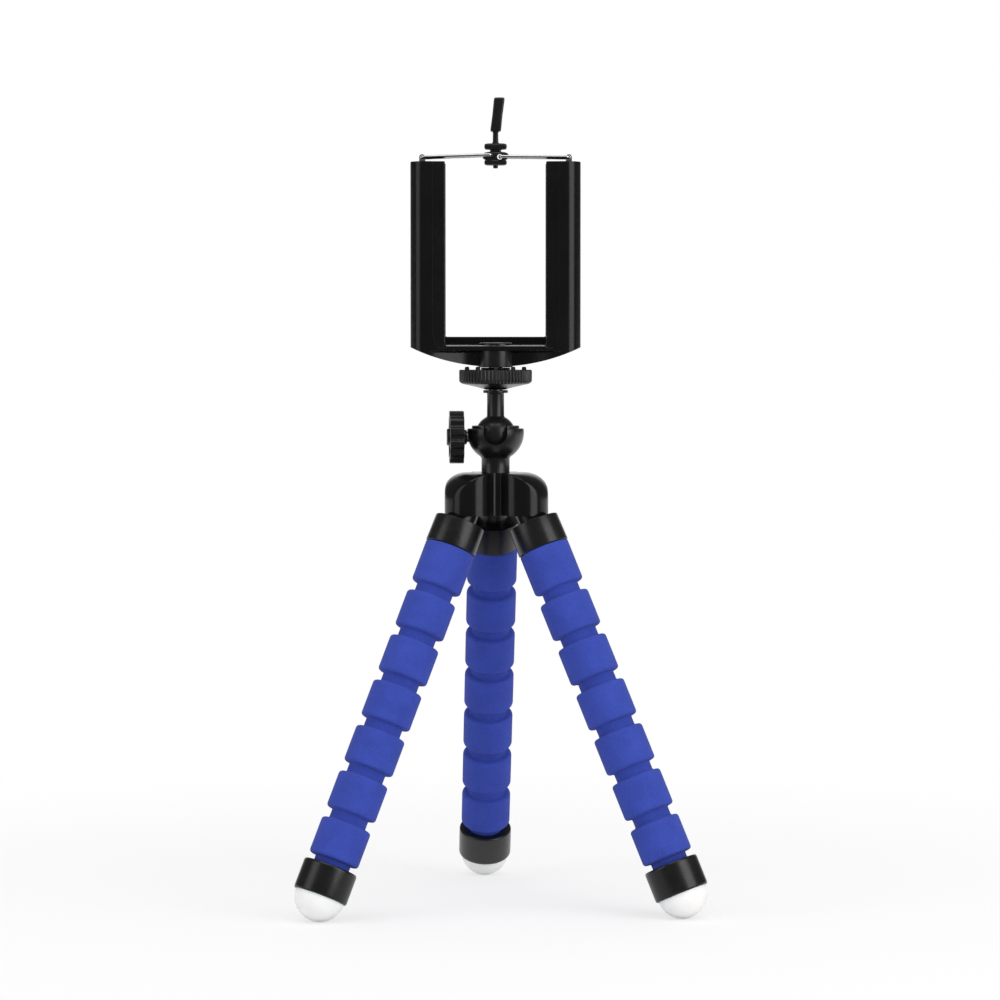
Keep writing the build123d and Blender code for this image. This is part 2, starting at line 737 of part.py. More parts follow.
# The right arm: a channel that grips the phone's edge, on a forked knuckle
channel_floor = clamp_half_width - clamp_wall
crease_x = clamp_half_width - arm_crease_offset
knuckle_top = pivot_height + tongue_radius + joint_gap
fill_x = channel_floor - clamp_wall / 2  # what fills a channel's corner ends inside its wall
web_x = lug_x - lug_radius
web_y = linkage_offset - lug_inner - lug_thickness - joint_gap
knuckle_reach = sqrt(knuckle_radius**2 - (pivot_half_span - lip_half_gap) ** 2)
with BuildPart() as arm_right:
    with BuildSketch(Plane.XY.offset(clamp_bottom)):
        with BuildLine():
            outer_y = clamp_half_depth
            lip_outer_y = outer_y - arm_step - lip_taper
            lip_inner_y = lip_outer_y - clamp_wall + lip_round
            lip_middle_y = (lip_outer_y + lip_inner_y) / 2
            inner_corner = arm_corner - clamp_wall
            Polyline(
                (clamp_half_width, 0),
                (clamp_half_width, outer_y - arm_corner),
            )
            JernArc((clamp_half_width, outer_y - arm_corner), (0, 1), arm_corner, 90)
            Polyline(
                (clamp_half_width - arm_corner, outer_y),
                (crease_x, outer_y),
                (crease_x - arm_step / 2, outer_y - arm_step),
                (lip_half_gap + lip_round, lip_outer_y),
                (lip_half_gap, lip_outer_y - lip_round),
                (lip_half_gap, lip_inner_y + lip_round),
                (lip_half_gap + lip_round, lip_inner_y),
                (crease_x, outer_y - clamp_wall),
                (channel_floor - inner_corner, outer_y - clamp_wall),
            )
            JernArc(
                (channel_floor - inner_corner, outer_y - clamp_wall), (1, 0), inner_corner, -90
            )
            Line((channel_floor, outer_y - arm_corner), (channel_floor, 0))
            Line((channel_floor, 0), (clamp_half_width, 0))
        make_face()
        mirror(about=Plane.XZ)
    extrude(amount=arm_top - clamp_bottom)
    with BuildSketch(Plane.XY.offset(clamp_bottom)):
        with Locations(((lip_half_gap + fill_x) / 2, 0)):
            Rectangle(fill_x - lip_half_gap, 2 * lip_middle_y)
        with Locations(((lip_half_gap + channel_floor) / 2, 0)):
            Rectangle(channel_floor - lip_half_gap, 2 * lip_inner_y)
    extrude(amount=knuckle_top - clamp_bottom)
    with BuildSketch(Plane.XZ):
        with Locations((clamp_half_width / 2, clamp_bottom)):
            Rectangle(2 * clamp_half_width, 2 * (knuckle_top - clamp_bottom))
        with Locations((0, arc_centre_height)):
            Circle(base_arc_radius, mode=Mode.SUBTRACT)
    extrude(amount=2 * clamp_half_depth, both=True, mode=Mode.SUBTRACT)
    with BuildSketch(Plane.XZ):
        with Locations((pivot_half_span / 2, clamp_bottom)):
            Rectangle(pivot_half_span, 2 * (pivot_height + knuckle_reach - clamp_bottom))
        with Locations((pivot_half_span, pivot_height)):
            Circle(knuckle_radius, mode=Mode.SUBTRACT)
    extrude(amount=2 * clamp_half_depth, both=True, mode=Mode.SUBTRACT)
    slot_right = pivot_half_span + tongue_radius + joint_gap
    with BuildSketch(Plane.XZ):
        with Locations((slot_right / 2, clamp_bottom)):
            Rectangle(slot_right, 2 * (knuckle_top - clamp_bottom))
    extrude(amount=tongue_half_width + joint_gap, both=True, mode=Mode.SUBTRACT)
    with BuildSketch(Plane.XZ.offset(-clamp_half_depth)):
        with Locations((pivot_half_span, pivot_height)):
            Circle(hinge_pin_radius + running_gap)
    extrude(amount=clamp_half_depth + hinge_pin_front + face_gap, mode=Mode.SUBTRACT)
    with BuildSketch(Plane.XY.offset(arm_top - top_web_height)):
        with Locations(((web_x + fill_x) / 2, (web_y + lip_middle_y) / 2)):
            Rectangle(fill_x - web_x, lip_middle_y - web_y)
        with Locations(((web_x + channel_floor) / 2, (web_y + lip_inner_y) / 2)):
            Rectangle(channel_floor - web_x, lip_inner_y - web_y)
    extrude(amount=top_web_height)
    for side in (-1, 1):
        lug_middle = linkage_offset + side * (lug_inner + lug_thickness / 2)
        with BuildSketch(Plane.XZ.offset(-lug_middle)):
            with Locations((lug_x, lug_height)):
                Circle(lug_radius)
            with Locations((lug_x, (lug_height + arm_top - top_web_height) / 2)):
                Rectangle(2 * lug_radius, lug_height - arm_top + top_web_height)
            with Locations((lug_x, lug_height)):
                Circle(wire_radius + running_gap, mode=Mode.SUBTRACT)
        extrude(amount=lug_thickness / 2, both=True)
save(arm_right.part, "arm_right")

with BuildPart() as arm_left:
    add(arm_right.part)
    mirror(about=Plane.YZ, mode=Mode.REPLACE)
save(arm_left.part, "arm_left")

strip_low, strip_high = knuckle_top + pad_strip_margin, arm_top - top_web_height - pad_strip_margin
with BuildPart() as arm_pad_right:
    with BuildSketch(Plane.XY.offset(strip_low)):
        with Locations((channel_floor - pad_strip_thickness / 2, 0)):
            Rectangle(pad_strip_thickness, 2 * pad_strip_half_width)
    extrude(amount=strip_high - strip_low)
    fillet(
        arm_pad_right.edges().filter_by(Axis.Z).group_by(Axis.X)[0], pad_strip_thickness / 3
    )
save(arm_pad_right.part, "arm_pad_right")

with BuildPart() as arm_pad_left:
    add(arm_pad_right.part)
    mirror(about=Plane.YZ, mode=Mode.REPLACE)
save(arm_pad_left.part, "arm_pad_left")


# The chrome wires: each hinges in an arm's lugs and hooks into the lever from both sides
def bent_wire(side, hook_height):
    """One wire, as a round bar along a bent path in the plane of its two legs."""
    hook = Vector(side * pivot_offset_x, linkage_offset, hook_height)
    hinge = Vector(side * lug_x, linkage_offset, lug_height)
    along = (hinge - hook).normalized()
    reach = (hinge - hook).length
    flat = Plane(origin=hook, x_dir=along, z_dir=along.cross(Vector(0, 1, 0)))
    tip = wire_half_span_lever - hook_length
    with BuildPart() as wire:
        with BuildLine(flat) as route:
            FilletPolyline(
                (0, -tip),
                (0, -wire_half_span_lever),
                (reach, -wire_half_span_arm),
                (reach, wire_half_span_arm),
                (0, wire_half_span_lever),
                (0, tip),
                radius=wire_bend,
            )
        with BuildSketch(Plane(origin=route.line @ 0, z_dir=route.line % 0)):
            Circle(wire_radius)
        sweep()
    return wire.part


save(bent_wire(-1, lever_height + pivot_offset_z), "wire_left")
save(bent_wire(1, lever_height - pivot_offset_z), "wire_right")

# The lever: a flanged hub with the two wire pivots, a stem and a paddle for the thumb
with BuildPart() as lever:
    middle = Plane.XZ.offset(-linkage_offset)
    with BuildSketch(middle):
        with Locations((0, lever_height)):
            SlotOverall(lever_boss_length, lever_boss_height)
    extrude(amount=lever_half_depth - joint_gap, both=True)
    with BuildSketch(middle):
        with Locations((0, lever_height + upper_flange_rise)):
            SlotOverall(flange_length, upper_flange_height)
        with Locations((0, lever_height - lower_flange_drop)):
            SlotOverall(flange_length, lower_flange_height)
    extrude(amount=lever_half_depth, both=True)
    with BuildSketch(middle):
        with Locations((0, lever_height)):
            Rectangle(lever_neck_width, 2 * upper_flange_rise)
    extrude(amount=lever_neck_depth / 2, both=True)
    with BuildSketch(middle):
        with Locations((0, lever_height - nub_drop / 2)):
            Rectangle(nub_width, nub_drop)
    extrude(amount=nub_width / 2, both=True)
    with BuildSketch(middle):
        with Locations((0, lever_height + (upper_flange_rise + paddle_start) / 2)):
            Rectangle(paddle_stem_width, paddle_start - upper_flange_rise + paddle_round)
    extrude(amount=paddle_stem_depth / 2, both=True)
    lean = radians(paddle_lean)
    paddle_middle = paddle_length / 2
    with BuildSketch(middle):
        paddle_x = paddle_middle * sin(lean)
        paddle_z = lever_height + paddle_start + paddle_middle * cos(lean)
        with Locations(Location((paddle_x, paddle_z), -paddle_lean)):
            RectangleRounded(paddle_width, paddle_length, paddle_round)
    extrude(amount=paddle_depth / 2, both=True)
    with BuildSketch(middle):
        with Locations((-pivot_offset_x, lever_height + pivot_offset_z)):
            Circle(wire_radius + running_gap)
        with Locations((pivot_offset_x, lever_height - pivot_offset_z)):
            Circle(wire_radius + open_pivot_clearance)
    extrude(amount=2 * lever_half_depth, both=True, mode=Mode.SUBTRACT)
save(lever.part, "lever")
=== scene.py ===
"""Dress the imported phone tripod: bendable foam legs, a ball head and a sprung phone clamp.

Lengths here are millimetres and are turned into metres when a mesh is made. +Z is up and the
clamp's front faces -Y. Every shape is a grid of points worked out with numpy from its sizes.
"""

import json
import logging
from dataclasses import dataclass, field
from enum import Enum

import bmesh
import bpy
import numpy as np
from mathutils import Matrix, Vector


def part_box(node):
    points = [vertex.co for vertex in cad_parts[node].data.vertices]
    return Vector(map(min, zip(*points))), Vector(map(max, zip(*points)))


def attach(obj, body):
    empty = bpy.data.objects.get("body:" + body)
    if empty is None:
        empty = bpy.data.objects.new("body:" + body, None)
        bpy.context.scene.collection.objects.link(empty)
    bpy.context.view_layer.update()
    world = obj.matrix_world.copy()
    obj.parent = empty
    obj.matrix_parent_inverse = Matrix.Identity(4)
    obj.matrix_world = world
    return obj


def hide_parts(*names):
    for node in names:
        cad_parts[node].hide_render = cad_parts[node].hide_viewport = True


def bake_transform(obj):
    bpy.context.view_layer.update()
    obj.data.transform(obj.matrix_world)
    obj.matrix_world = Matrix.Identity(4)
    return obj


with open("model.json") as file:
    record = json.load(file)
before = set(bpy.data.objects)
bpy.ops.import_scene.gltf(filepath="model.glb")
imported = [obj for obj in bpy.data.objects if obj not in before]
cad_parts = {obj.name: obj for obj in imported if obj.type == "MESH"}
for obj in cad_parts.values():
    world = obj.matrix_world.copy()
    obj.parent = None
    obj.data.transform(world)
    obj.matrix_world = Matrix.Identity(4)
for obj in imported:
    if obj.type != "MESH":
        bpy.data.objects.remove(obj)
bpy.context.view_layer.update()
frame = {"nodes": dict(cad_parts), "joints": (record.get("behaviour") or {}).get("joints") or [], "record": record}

LOG = logging.getLogger("tripod")
MM = 0.001
MERGE_DISTANCE = 2e-6
BEVEL_ANGLE = 40.0
Array = np.ndarray
Piece = bpy.types.Object
Socket = bpy.types.NodeSocket


class Slot(Enum):
    """The record's material slots."""

    GLOSS = "gloss_black"
    SATIN = "satin_black"
    FOAM = "blue_foam"
    TIP = "white_rubber"
    RUBBER = "black_rubber"
    NYLON = "white_nylon"
    CHROME = "chrome_wire"
    STEEL = "steel"
    BRASS = "brass"
    CORE = "soft_aluminium"


class Side(Enum):
    """A side of the clamp, with its direction along x."""

    RIGHT = 1
    LEFT = -1

    @property
    def label(self) -> str:
        """Return the word that the frame's names use for it."""
        return self.name.lower()


def joint_point(name: str) -> Array:
    """Find where a joint of the frame turns.

    Args:
        name: The joint's name in the record.

    Returns:
        The point, in millimetres.
    """
    return next(np.array(joint["pos_m"]) / MM for joint in frame["joints"] if joint["name"] == name)


def node_range(name: str) -> tuple[Array, Array]:
    """Find the box of a CAD node.

    Args:
        name: The node's name.

    Returns:
        Its lowest and highest corners, in millimetres.
    """
    low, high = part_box(name)
    return np.array(low) / MM, np.array(high) / MM


def unit(vector: Array) -> Array:
    """Return a vector, or each of many, at length one."""
    return vector / np.linalg.norm(vector, axis=-1, keepdims=True)


def ease(value: Array) -> Array:
    """Return a smooth step from 0 to 1 for values that run from 0 to 1, flat at both ends."""
    held = np.clip(value, 0, 1)
    return held * held * (3 - 2 * held)


def soft_min(first: Array, second: Array, blend: float) -> Array:
    """Take the smaller of two arrays, with their crossing rounded over a width of blend.

    The result is the mean of the two, less half the root of their squared difference and the
    squared blend.
    """
    return (first + second - np.sqrt((first - second) ** 2 + blend**2)) / 2


def rounded(corners: Array, setbacks: Array, steps: int = 5, closed: bool = False) -> Array:
    """Round the corners of a polyline, or of a whole stack of polylines at once.

    Each corner becomes a quadratic curve from a setback before it to a setback after it, with the
    corner itself as the middle control point.

    Args:
        corners: Points, as (..., corners, dimensions).
        setbacks: How far along its two edges each corner's rounding starts, one for each corner.
        steps: Points on each rounding.
        closed: Whether the last corner joins the first.

    Returns:
        Points, as (..., corners * steps, dimensions).
    """
    before, after = np.roll(corners, 1, axis=-2), np.roll(corners, -1, axis=-2)
    if not closed:
        before[..., 0, :], after[..., -1, :] = corners[..., 0, :], corners[..., -1, :]
    back, ahead = before - corners, after - corners
    back_length = np.linalg.norm(back, axis=-1, keepdims=True)
    ahead_length = np.linalg.norm(ahead, axis=-1, keepdims=True)
    reach = np.minimum(np.minimum(back_length, ahead_length) * 0.49, np.asarray(setbacks)[:, None])
    start = corners + back / np.maximum(back_length, 1e-9) * reach
    end = corners + ahead / np.maximum(ahead_length, 1e-9) * reach
    t = np.linspace(0, 1, steps)[:, None]
    curve = (
        (1 - t) ** 2 * start[..., None, :]
        + 2 * t * (1 - t) * corners[..., None, :]
        + t**2 * end[..., None, :]
    )
    return curve.reshape(*corners.shape[:-2], -1, corners.shape[-1])


def outline_of(table: list[tuple], steps: int = 5, closed: bool = False) -> Array:
    """Round a flat outline whose rows hold a corner's two coordinates and its setback.

    Args:
        table: The corners, in order. On a turned piece the coordinates are a radius and a
            distance along the axis.
        steps: Points on each rounding.
        closed: Whether the last corner joins the first.

    Returns:
        Points, as (corners * steps, 2).
    """
    rows = np.array(table)
    return rounded(rows[:, :2], rows[:, 2], steps, closed)


def round_angles(count: int) -> Array:
    """Return directions evenly spaced all round, in radians."""
    return np.arange(count) * 2 * np.pi / count


def arc(radius: float, angle: Array) -> Array:
    """Return a circle's points at given angles, as (points, 2)."""
    return np.stack([radius * np.cos(angle), radius * np.sin(angle)], axis=1)


def grid_of(x: Array, y: Array, z: Array) -> Array:
    """Join three coordinates, stretched to one shape, into points as (..., 3)."""
    return np.stack(np.broadcast_arrays(x, y, z), axis=-1)


def link(name: str, data: bpy.types.ID) -> Piece:
    """Make an object and add it to the scene.

    Args:
        name: The object's name.
        data: Its mesh, lamp or camera.

    Returns:
        The object.
    """
    piece = bpy.data.objects.new(name, data)
    bpy.context.scene.collection.objects.link(piece)
    return piece


@dataclass
class Shell:
    """Grids of points that together become one piece."""

    name: str
    points: list[Array] = field(default_factory=list)
    faces: list[list[int]] = field(default_factory=list)
    count: int = 0

    def add(self, grid: Array, loop: bool = False, caps: bool = False) -> "Shell":
        """Add a grid whose rows are closed rings.

        Args:
            grid: Points as (rows, columns, 3), where the last column joins the first.
            loop: Whether the last row joins the first row too, as round a tube bent to a ring.
            caps: Whether the first and the last rings are closed by a face.

        Returns:
            The shell, so that calls can be chained.
        """
        rows, columns = grid.shape[:2]
        index = np.arange(rows * columns).reshape(rows, columns) + self.count
        index = np.hstack([index, index[:, :1]])
        if loop:
            index = np.vstack([index, index[:1]])
        quads = np.stack([index[:-1, :-1], index[:-1, 1:], index[1:, 1:], index[1:, :-1]], axis=-1)
        self.faces += quads.reshape(-1, 4).tolist()
        if caps:
            self.faces += [index[0, :-1].tolist()[::-1], index[-1, :-1].tolist()]
        self.points.append(grid.reshape(-1, 3))
        self.count += rows * columns
        return self

    def build(self, crease: float = 32.0) -> Piece:
        """Make the mesh, close its poles and seams, and turn its faces outwards.

        Args:
            crease: The angle in degrees above which an edge stays sharp.

        Returns:
            The new object, at the origin.
        """
        mesh = bpy.data.meshes.new(self.name)
        mesh.from_pydata((np.concatenate(self.points) * MM).tolist(), [], self.faces)
        shape = bmesh.new()
        shape.from_mesh(mesh)
        bmesh.ops.remove_doubles(shape, verts=shape.verts, dist=MERGE_DISTANCE)
        bmesh.ops.recalc_face_normals(shape, faces=shape.faces)
        shape.to_mesh(mesh)
        shape.free()
        mesh.shade_smooth()
        mesh.set_sharp_from_angle(angle=np.radians(crease))
        return link(self.name, mesh)


@dataclass(frozen=True)
class Spindle:
    """An axis that profiles are turned about."""

    origin: Array
    along: Array
    across: Array

    def turn(self, radius: Array, distance: Array, segments: int = 96) -> Array:
        """Turn a profile about the axis.

        A point is the origin, plus its distance along the axis, plus its radius times the cosine
        and sine of its angle on the two directions square to the axis.

        Args:
            radius: The profile's radii, as (rows,) or, where they change round the axis, as
                (rows, segments).
            distance: How far along the axis each one lies, in the same form.
            segments: Points round the axis.

        Returns:
            Points, as (rows, segments, 3).
        """
        angle = round_angles(segments)
        spokes = np.cos(angle)[:, None] * self.across
        spokes = spokes + np.sin(angle)[:, None] * np.cross(self.along, self.across)
        radius = radius[:, None] if radius.ndim == 1 else radius
        distance = distance[:, None] if distance.ndim == 1 else distance
        radius, distance = np.broadcast_arrays(radius, distance)
        return self.origin + distance[..., None] * self.along + radius[..., None] * spokes

    def lathe(
        self, name: str, profile: Array, segments: int = 96, loop: bool = False, caps: bool = False
    ) -> Shell:
        """Turn a profile into a shell.

        Args:
            name: The piece's name.
            profile: Radii and distances, as (rows, 2).
            segments: Points round the axis.
            loop: Whether the last row joins the first.
            caps: Whether the first and the last rows are closed by a face.

        Returns:
            The shell, ready to build.
        """
        return Shell(name).add(self.turn(profile[:, 0], profile[:, 1], segments), loop, caps)

    def rod(self, name: str, radius: float, rows: Array, segments: int) -> Piece:
        """Build a round rod with closed ends and a ring of points at each row's distance."""
        profile = np.stack([np.full(len(rows), radius), rows], axis=1)
        return self.lathe(name, profile, segments, caps=True).build()

    def point(self, distance: float) -> tuple[float, float, float]:
        """Return a point on the axis in metres, for the frame."""
        return tuple((self.origin + self.along * distance) * MM)


def upright(height: float = 0.0) -> Spindle:
    """Return the head's own axis, counted from a height."""
    return Spindle(np.array([0, 0, height]), np.array([0.0, 0, 1]), np.array([1.0, 0, 0]))


class Tree:
    """A node tree, with short calls to add and join its nodes."""

    def __init__(self, tree: bpy.types.NodeTree) -> None:
        """Take over a tree.

        Args:
            tree: The tree of a material or of the surroundings.
        """
        self.nodes, self.links = tree.nodes, tree.links

    def add(self, kind: str, inputs: dict, **settings: str) -> bpy.types.Node:
        """Add a node.

        Args:
            kind: The node's type, without the word that starts every type.
            inputs: A constant or another node's socket for each input, by its name or place.
            settings: The node's own settings.

        Returns:
            The node.
        """
        node = self.nodes.new(f"ShaderNode{kind}")
        for name, setting in settings.items():
            setattr(node, name, setting)
        for slot, value in inputs.items():
            if isinstance(value, Socket):
                self.links.new(value, node.inputs[slot])
            else:
                node.inputs[slot].default_value = value
        return node

    def math(self, operation: str, first: Socket, second: Socket) -> Socket:
        """Join two values by an operation, and return the result."""
        return self.add("Math", {0: first, 1: second}, operation=operation).outputs[0]

    def ramp(
        self, value: Socket, span: tuple, low: object, high: object, kind: str = "LINEAR"
    ) -> Socket:
        """Stretch a value's span over a range, and hold it at the range's ends.

        Args:
            value: The value.
            span: Where the range starts and ends.
            low: What it gives at the start, as a constant or a socket.
            high: What it gives at the end, in the same form.
            kind: How it runs between the two.

        Returns:
            The stretched value.
        """
        inputs = {
            "Value": value, "From Min": span[0], "From Max": span[1], "To Min": low, "To Max": high
        }
        return self.add("MapRange", inputs, interpolation_type=kind).outputs["Result"]

    def along_y(self, place: Socket, span: tuple, low: float) -> Socket:
        """Run smoothly from a low level in front to one behind.

        Args:
            place: The direction or the place that is looked at.
            span: The y at which the rise starts and ends.
            low: The level in front.

        Returns:
            The level.
        """
        axes = self.add("SeparateXYZ", {"Vector": place})
        return self.ramp(axes.outputs["Y"], span, low, 1.0, "SMOOTHSTEP")

    def rays(self) -> tuple[Socket, Socket]:
        """Tell the kinds of rays apart.

        Returns:
            What is 1 for the camera's own rays, and what is 1 for mirrored or bent ones.
        """
        path = self.add("LightPath", {}).outputs
        mirrored = self.math("MAXIMUM", path["Is Glossy Ray"], path["Is Transmission Ray"])
        return path["Is Camera Ray"], mirrored


class Graph(Tree):
    """A material's nodes."""

    def __init__(self, name: str) -> None:
        """Start a material.

        Args:
            name: The material's name.
        """
        self.material = bpy.data.materials.new(name)
        self.material.use_nodes = True
        super().__init__(self.material.node_tree)
        self.shader = self.nodes["Principled BSDF"]
        self.place = self.add("TexCoord", {}).outputs["Object"]

    def set(self, **values: object) -> None:
        """Set constants on the shader's own sockets, by name with underscores for spaces."""
        for name, value in values.items():
            self.shader.inputs[name.replace("_", " ")].default_value = value

    def noise(self, size: float, detail: float = 2.0) -> Socket:
        """Add fractal noise.

        Args:
            size: The size of its largest patches, in millimetres.
            detail: How many finer layers it has.

        Returns:
            Its value, about a half on the mean.
        """
        inputs = {"Scale": 1 / (size * MM), "Detail": detail, "Vector": self.place}
        return self.add("TexNoise", inputs).outputs["Fac"]

    def cells(self, size: float) -> Socket:
        """Add rounded cells of a size in millimetres, and return the distance to their middles."""
        inputs = {"Scale": 1 / (size * MM), "Vector": self.place}
        return self.add("TexVoronoi", inputs).outputs["Distance"]

    def spread(self, value: Socket, low: float, high: float) -> Socket:
        """Stretch the middle of a noise, from 0.3 to 0.7, over a range, and return it."""
        return self.ramp(value, (0.3, 0.7), low, high)

    def tint(self, colour: tuple, factor: Socket) -> None:
        """Multiply a linear colour by a factor and give it to the shader."""
        node = self.add("VectorMath", {0: colour, "Scale": factor}, operation="SCALE")
        self.links.new(node.outputs["Vector"], self.shader.inputs["Base Color"])

    def relief(self, *layers: tuple[Socket, float]) -> None:
        """Stack bumps on the shader.

        Args:
            layers: Heights, each with its depth in millimetres.
        """
        below = {}
        for height, depth in layers:
            node = self.add("Bump", {"Distance": depth * MM, "Height": height, **below})
            below = {"Normal": node.outputs["Normal"]}
        self.links.new(below["Normal"], self.shader.inputs["Normal"])

    def roughen(self, value: Socket) -> None:
        """Give the shader a roughness that varies."""
        self.links.new(value, self.shader.inputs["Roughness"])


@dataclass(frozen=True)
class Plastic:
    """Moulded plastic, with a fine grain, faint flow marks and slightly uneven gloss."""

    slot: Slot
    colour: tuple[float, float, float]
    gloss: tuple[float, float]
    grain: float
    grain_depth: float
    specular: float = 0.36

    def material(self) -> bpy.types.Material:
        """Build the material.

        Returns:
            The material.
        """
        graph = Graph(self.slot.value)
        graph.set(Specular_IOR_Level=self.specular)
        flow = graph.noise(14.0, 3.0)
        graph.tint(self.colour, graph.spread(flow, 0.85, 1.2))
        graph.roughen(graph.spread(graph.noise(3.0, 5.0), *self.gloss))
        graph.relief((graph.noise(self.grain, 3.0), self.grain_depth), (flow, 0.006))
        return graph.material


@dataclass(frozen=True)
class Foam:
    """Closed-cell foam rubber: matte, with fine pores and a soft sheen."""

    slot: Slot
    colour: tuple[float, float, float]
    pore: float

    def material(self) -> bpy.types.Material:
        """Build the material.

        Returns:
            The material.
        """
        graph = Graph(self.slot.value)
        graph.set(Sheen_Weight=0.04, Sheen_Roughness=0.5, Specular_IOR_Level=0.2)
        cloud = graph.spread(graph.noise(9.0, 3.0), 0.92, 1.08)
        speckle = graph.spread(graph.noise(self.pore, 2.0), 0.84, 1.14)
        graph.tint(self.colour, graph.math("MULTIPLY", cloud, speckle))
        graph.roughen(graph.spread(graph.noise(2.0, 2.0), 0.78, 0.92))
        graph.relief(
            (graph.cells(self.pore * 1.6), 0.05),
            (graph.noise(self.pore, 2.0), 0.06),
            (graph.noise(6.0, 1.0), 0.1),
        )
        return graph.material


@dataclass(frozen=True)
class Rubber:
    """Solid moulded rubber, slightly cloudy and a little see-through at its skin."""

    slot: Slot
    colour: tuple[float, float, float]
    gloss: tuple[float, float]
    glow: float

    def material(self) -> bpy.types.Material:
        """Build the material.

        Returns:
            The material.
        """
        graph = Graph(self.slot.value)
        graph.set(Subsurface_Weight=self.glow, Subsurface_Scale=0.002)
        graph.tint(self.colour, graph.spread(graph.noise(5.0, 3.0), 0.96, 1.0))
        graph.roughen(graph.spread(graph.noise(1.5, 3.0), *self.gloss))
        graph.relief((graph.noise(0.4, 3.0), 0.015), (graph.noise(4.0, 2.0), 0.03))
        return graph.material


@dataclass(frozen=True)
class Metal:
    """Plated or plain metal, with fine marks and an uneven polish."""

    slot: Slot
    colour: tuple[float, float, float]
    gloss: tuple[float, float]
    mark_depth: float

    def material(self) -> bpy.types.Material:
        """Build the material.

        Returns:
            The material.
        """
        graph = Graph(self.slot.value)
        graph.set(Metallic=1.0)
        graph.tint(self.colour, graph.spread(graph.noise(4.0, 3.0), 0.92, 1.0))
        graph.roughen(graph.spread(graph.noise(0.8, 4.0), *self.gloss))
        graph.relief((graph.noise(0.3, 3.0), self.mark_depth))
        return graph.material


FINISHES = {
    finish.slot: finish.material()
    for finish in (
        Plastic(Slot.GLOSS, (0.0040, 0.0040, 0.0042), (0.17, 0.24), 0.6, 0.0006),
        Plastic(Slot.SATIN, (0.0056, 0.0055, 0.0055), (0.26, 0.34), 0.4, 0.0015, 0.6),
        Foam(Slot.FOAM, (0.032, 0.058, 0.345), 0.35),
        Rubber(Slot.TIP, (0.87, 0.87, 0.865), (0.4, 0.55), 0.25),
        Rubber(Slot.RUBBER, (0.013, 0.013, 0.013), (0.6, 0.75), 0.0),
        Rubber(Slot.NYLON, (0.75, 0.75, 0.72), (0.4, 0.5), 0.1),
        Metal(Slot.CHROME, (0.85, 0.85, 0.87), (0.14, 0.24), 0.0005),
        Metal(Slot.STEEL, (0.5, 0.5, 0.52), (0.25, 0.4), 0.003),
        Metal(Slot.BRASS, (0.7, 0.5, 0.22), (0.25, 0.4), 0.003),
        Metal(Slot.CORE, (0.6, 0.6, 0.62), (0.35, 0.5), 0.004),
    )
}


def paint(piece: Piece, slot: Slot) -> None:
    """Make a finish a piece's only material."""
    piece.data.materials.clear()
    piece.data.materials.append(FINISHES[slot])


def dress(piece: Piece, slot: Slot, replaced: tuple[str, ...] = ()) -> Piece:
    """Give a piece its finish and hide the CAD nodes that it stands for.

    Args:
        piece: The piece.
        slot: The finish's slot.
        replaced: The nodes.

    Returns:
        The piece.
    """
    paint(piece, slot)
    if replaced:
        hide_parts(*replaced)
    LOG.info("%s is built, in %s", piece.name, slot.value)
    return piece


def place(piece: Piece, slot: Slot, body: str, replaced: tuple[str, ...] = ()) -> Piece:
    """Dress a piece and fix it to a body of the frame.

    Args:
        piece: The piece.
        slot: The finish's slot.
        body: The body that it rides on.
        replaced: The CAD nodes that it stands for.

    Returns:
        The piece.
    """
    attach(dress(piece, slot, replaced), body)
    return piece


